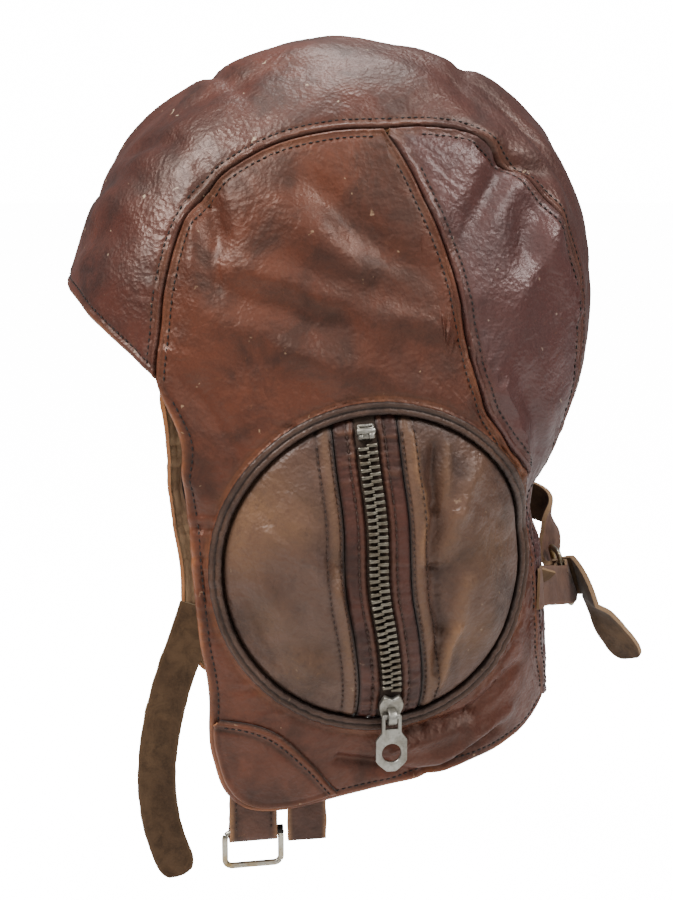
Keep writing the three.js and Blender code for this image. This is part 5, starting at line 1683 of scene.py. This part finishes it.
def leftBackingTab():
    bar = chinBar()
    forward = bar.y - chin["strapWidth"] / 2 - chin["backingClearance"] - chin["backingWidth"] / 2
    top, long = bar.z + chin["reach"], chin["backingLong"]
    depth = chin["backingInset"] + chin["strapWall"] / 2
    lateral = clearInside(forward, top - long / 2, chin["backingWidth"] / 2, long / 2, depth)
    count = chin["backingPoints"]
    path = [Vector((lateral, forward, top - long * i / (count - 1))) for i in range(count)]
    bm = strapBm(path, [Vector((0, 1, 0))] * count, chin["backingWidth"], 1, 6, tip=0, cup=0.3, columns=21)
    faceOut(bm, strapInside)
    centreWall(bm, chin["strapWall"])
    newPiece("left_backing_tab_leather", bm, ["loop_leather", "pale_suede", "cut_edge"],
             replaces=["left_backing_tab"], wall=chin["strapWall"], soften=chin["loopSoften"])


chinStrap()
leftBuckleLoop()
leftBuckleFrame()
leftBuckleWhipping()
leftBackingTab()
print("chin strap and buckle")

# Nape strap, its buckle and its keeper

nape = {
    "bow": 12, "strapWidth": 16, "tailLong": 31, "frameHeight": 25, "frameWidth": 13,
    "lateral": 10, "drop": 27, "standoff": 12.5, "lean": 17, "clearance": 0.4, "tip": 0.4, "tipLong": 8,
    "middleAngle": 200, "anchorAngle": 180, "anchorLean": 12,
    "bowPoints": 70, "turnSteps": 20, "tailSteps": 12,
    "keeperWidth": 15, "keeperAngle": 196, "keeperWall": 1, "keeperSewn": 9, "keeperFold": 6,
    "keeperPoints": 70, "keeperTurnSteps": 25,
}
napeTailRows = [  # share of the tail's length, lean from the vertical, twist of its face
    (0.20, 42, 75), (0.20, 34, 64), (0.20, 32, 57), (0.20, 36, 55), (0.20, 38, 55),
]
napeBowRows = [(0, 0, 0), (2, 0.2, 0.3), (6, 0.36, 1)]  # turn and step across the shell, share of the bow
frameTall = Vector((0, sin(radians(nape["lean"])), cos(radians(nape["lean"]))))
napeOut = Vector((1, 0, 0)).cross(frameTall).normalized()
barPass = chin["wire"] + chin["strapWall"] / 2 + 3 * nape["clearance"]
keeperPass = barPass + nape["keeperWall"] + 2 * nape["clearance"]
barOffset = nape["frameWidth"] / 2 - chin["wire"]


def napeCentre():
    angle = 180 + degrees(asin(nape["drop"] / outlineRadius(nape["middleAngle"])))
    radius = outlineRadius(angle) + nape["standoff"]
    return Vector((nape["lateral"], radius * cos(radians(angle)), -nape["drop"]))


def napeBuckle():
    centre = napeCentre()
    placed = [place(centre + Vector((1, 0, 0)) * p.x + frameTall * p.y + napeOut * p.z)
              for p in wireRoute(nape["frameWidth"], nape["frameHeight"], 0.2, 9)]
    bm = wireBm(placed, chin["wire"], chin["wireSides"])
    newPiece("nape_buckle_wire", bm, ["wire_nickel"], replaces=["nape_buckle"])


def napePiece(name, bm, wall, replaced, isFirst):
    # turns the strap's face back, as its first stretch shows it, and gives it its wall
    bmesh.ops.recalc_face_normals(bm, faces=bm.faces)
    bm.normal_update()
    if sum(f.normal.y for f in bm.faces if isFirst(f.calc_center_median())) < 0:
        bmesh.ops.reverse_faces(bm, faces=bm.faces)
    centreWall(bm, wall)
    newPiece(name, bm, ["nape_suede", "strap_suede", "flesh_side"], replaces=[replaced],
             wall=wall, soften=min(0.3, wall / 4))


def napeKeeper():
    # sewn on at the rear seam, then folded forwards round the buckle's bar
    bar = napeCentre() + Vector((barOffset, 0, 0))
    angle, lift = nape["keeperAngle"], 2 * nape["clearance"] + nape["keeperWall"] / 2
    seam = polarFromRadius(angle, rearSeamRadius(angle))
    sewn = nape["keeperSewn"] / mmPerRadian(angle, seam)
    points = [shellPoint(angle, seam + sewn * i / 3, lift) for i in range(4)]
    away = points[-1] - bar
    away = (away - frameTall * away.dot(frameTall)).normalized()
    outer = away.cross(frameTall).normalized()
    radius = chin["wire"] + nape["clearance"] + nape["keeperWall"] / 2
    points.append(bar + outer * radius + away * nape["keeperFold"])
    for i in range(6):
        turn = pi * i / 5
        points.append(bar + outer * radius * cos(turn) - away * radius * sin(turn))
    points.append(points[-1] + away * nape["keeperFold"])
    count = nape["keeperPoints"]
    path = smoothPath(points, count)
    run = shellPoint(angle, seam + 0.01, 0) - shellPoint(angle, seam, 0)
    sewnWide = shellNormal(angle, seam).cross(run).normalized()
    tall = frameTall * (1 if sewnWide.dot(frameTall) > 0 else -1)
    wides = [sewnWide.lerp(tall, min(i / nape["keeperTurnSteps"], 1)).normalized() for i in range(count)]
    bm = strapBm(path, wides, nape["keeperWidth"], 1, 21, tip=0, cup=0.1)
    edge = place(points[2]).x
    napePiece("nape_keeper_leather", bm, nape["keeperWall"], "nape_keeper", lambda c: c.x > edge)


def napeStrap():
    centre, lift = napeCentre(), chin["strapInset"] + chin["strapWall"] / 2
    anchorPolar = crownSeamPolar(nape["anchorAngle"])
    points = []
    for turn, across, bow in napeBowRows:
        point = shellPoint(nape["anchorAngle"] + turn, anchorPolar + across, lift + bow * nape["bow"])
        points.append(Vector((-point.x, point.y, point.z)))
    under = centre - napeOut * barPass - Vector((barOffset, 0, 0))
    over = centre + napeOut * keeperPass + Vector((barOffset, 0, 0))
    count = nape["bowPoints"]
    path = smoothPath(points + [under, over], count)
    upright = Vector((0, sin(radians(nape["anchorLean"])), cos(radians(nape["anchorLean"]))))
    wides = [upright.lerp(frameTall, i / (count - 1)) for i in range(count)]
    pivotReach = nape["strapWidth"] / 2 + nape["clearance"]
    pivot = over - frameTall * pivotReach
    for i in range(1, nape["turnSteps"] + 1):
        turn = pi / 2 * i / nape["turnSteps"]
        wides.append(frameTall * cos(turn) + Vector((sin(turn), 0, 0)))
        path.append(pivot + wides[-1] * pivotReach)
    tail, turned = [path[-1].copy()], [wides[-1].copy()]
    for share, leanDegrees, twistDegrees in napeTailRows:
        step, lean, twist = share * nape["tailLong"], radians(leanDegrees), radians(twistDegrees)
        tail.append(tail[-1] - Vector((0, step * sin(lean), step * cos(lean))))
        turned.append(Vector((sin(twist), -cos(lean) * cos(twist), sin(lean) * cos(twist))))
    steps, last = nape["tailSteps"], len(napeTailRows) - 1
    for i, point in enumerate(smoothPath(tail, steps * len(napeTailRows) + 1)[1:], 1):
        k = min(int(i / steps), last)
        path.append(point)
        wides.append(turned[k].lerp(turned[k + 1], i / steps - k).normalized())
    bm = strapBm(path, wides, nape["strapWidth"], 1, 12, nape["tip"], nape["tipLong"], 0.2, 17)
    edge = place((-20, 0, 0)).x
    napePiece("nape_strap_leather", bm, chin["strapWall"], "nape_strap", lambda c: c.x < edge)


napeBuckle()
napeKeeper()
napeStrap()
print("nape strap and buckle")
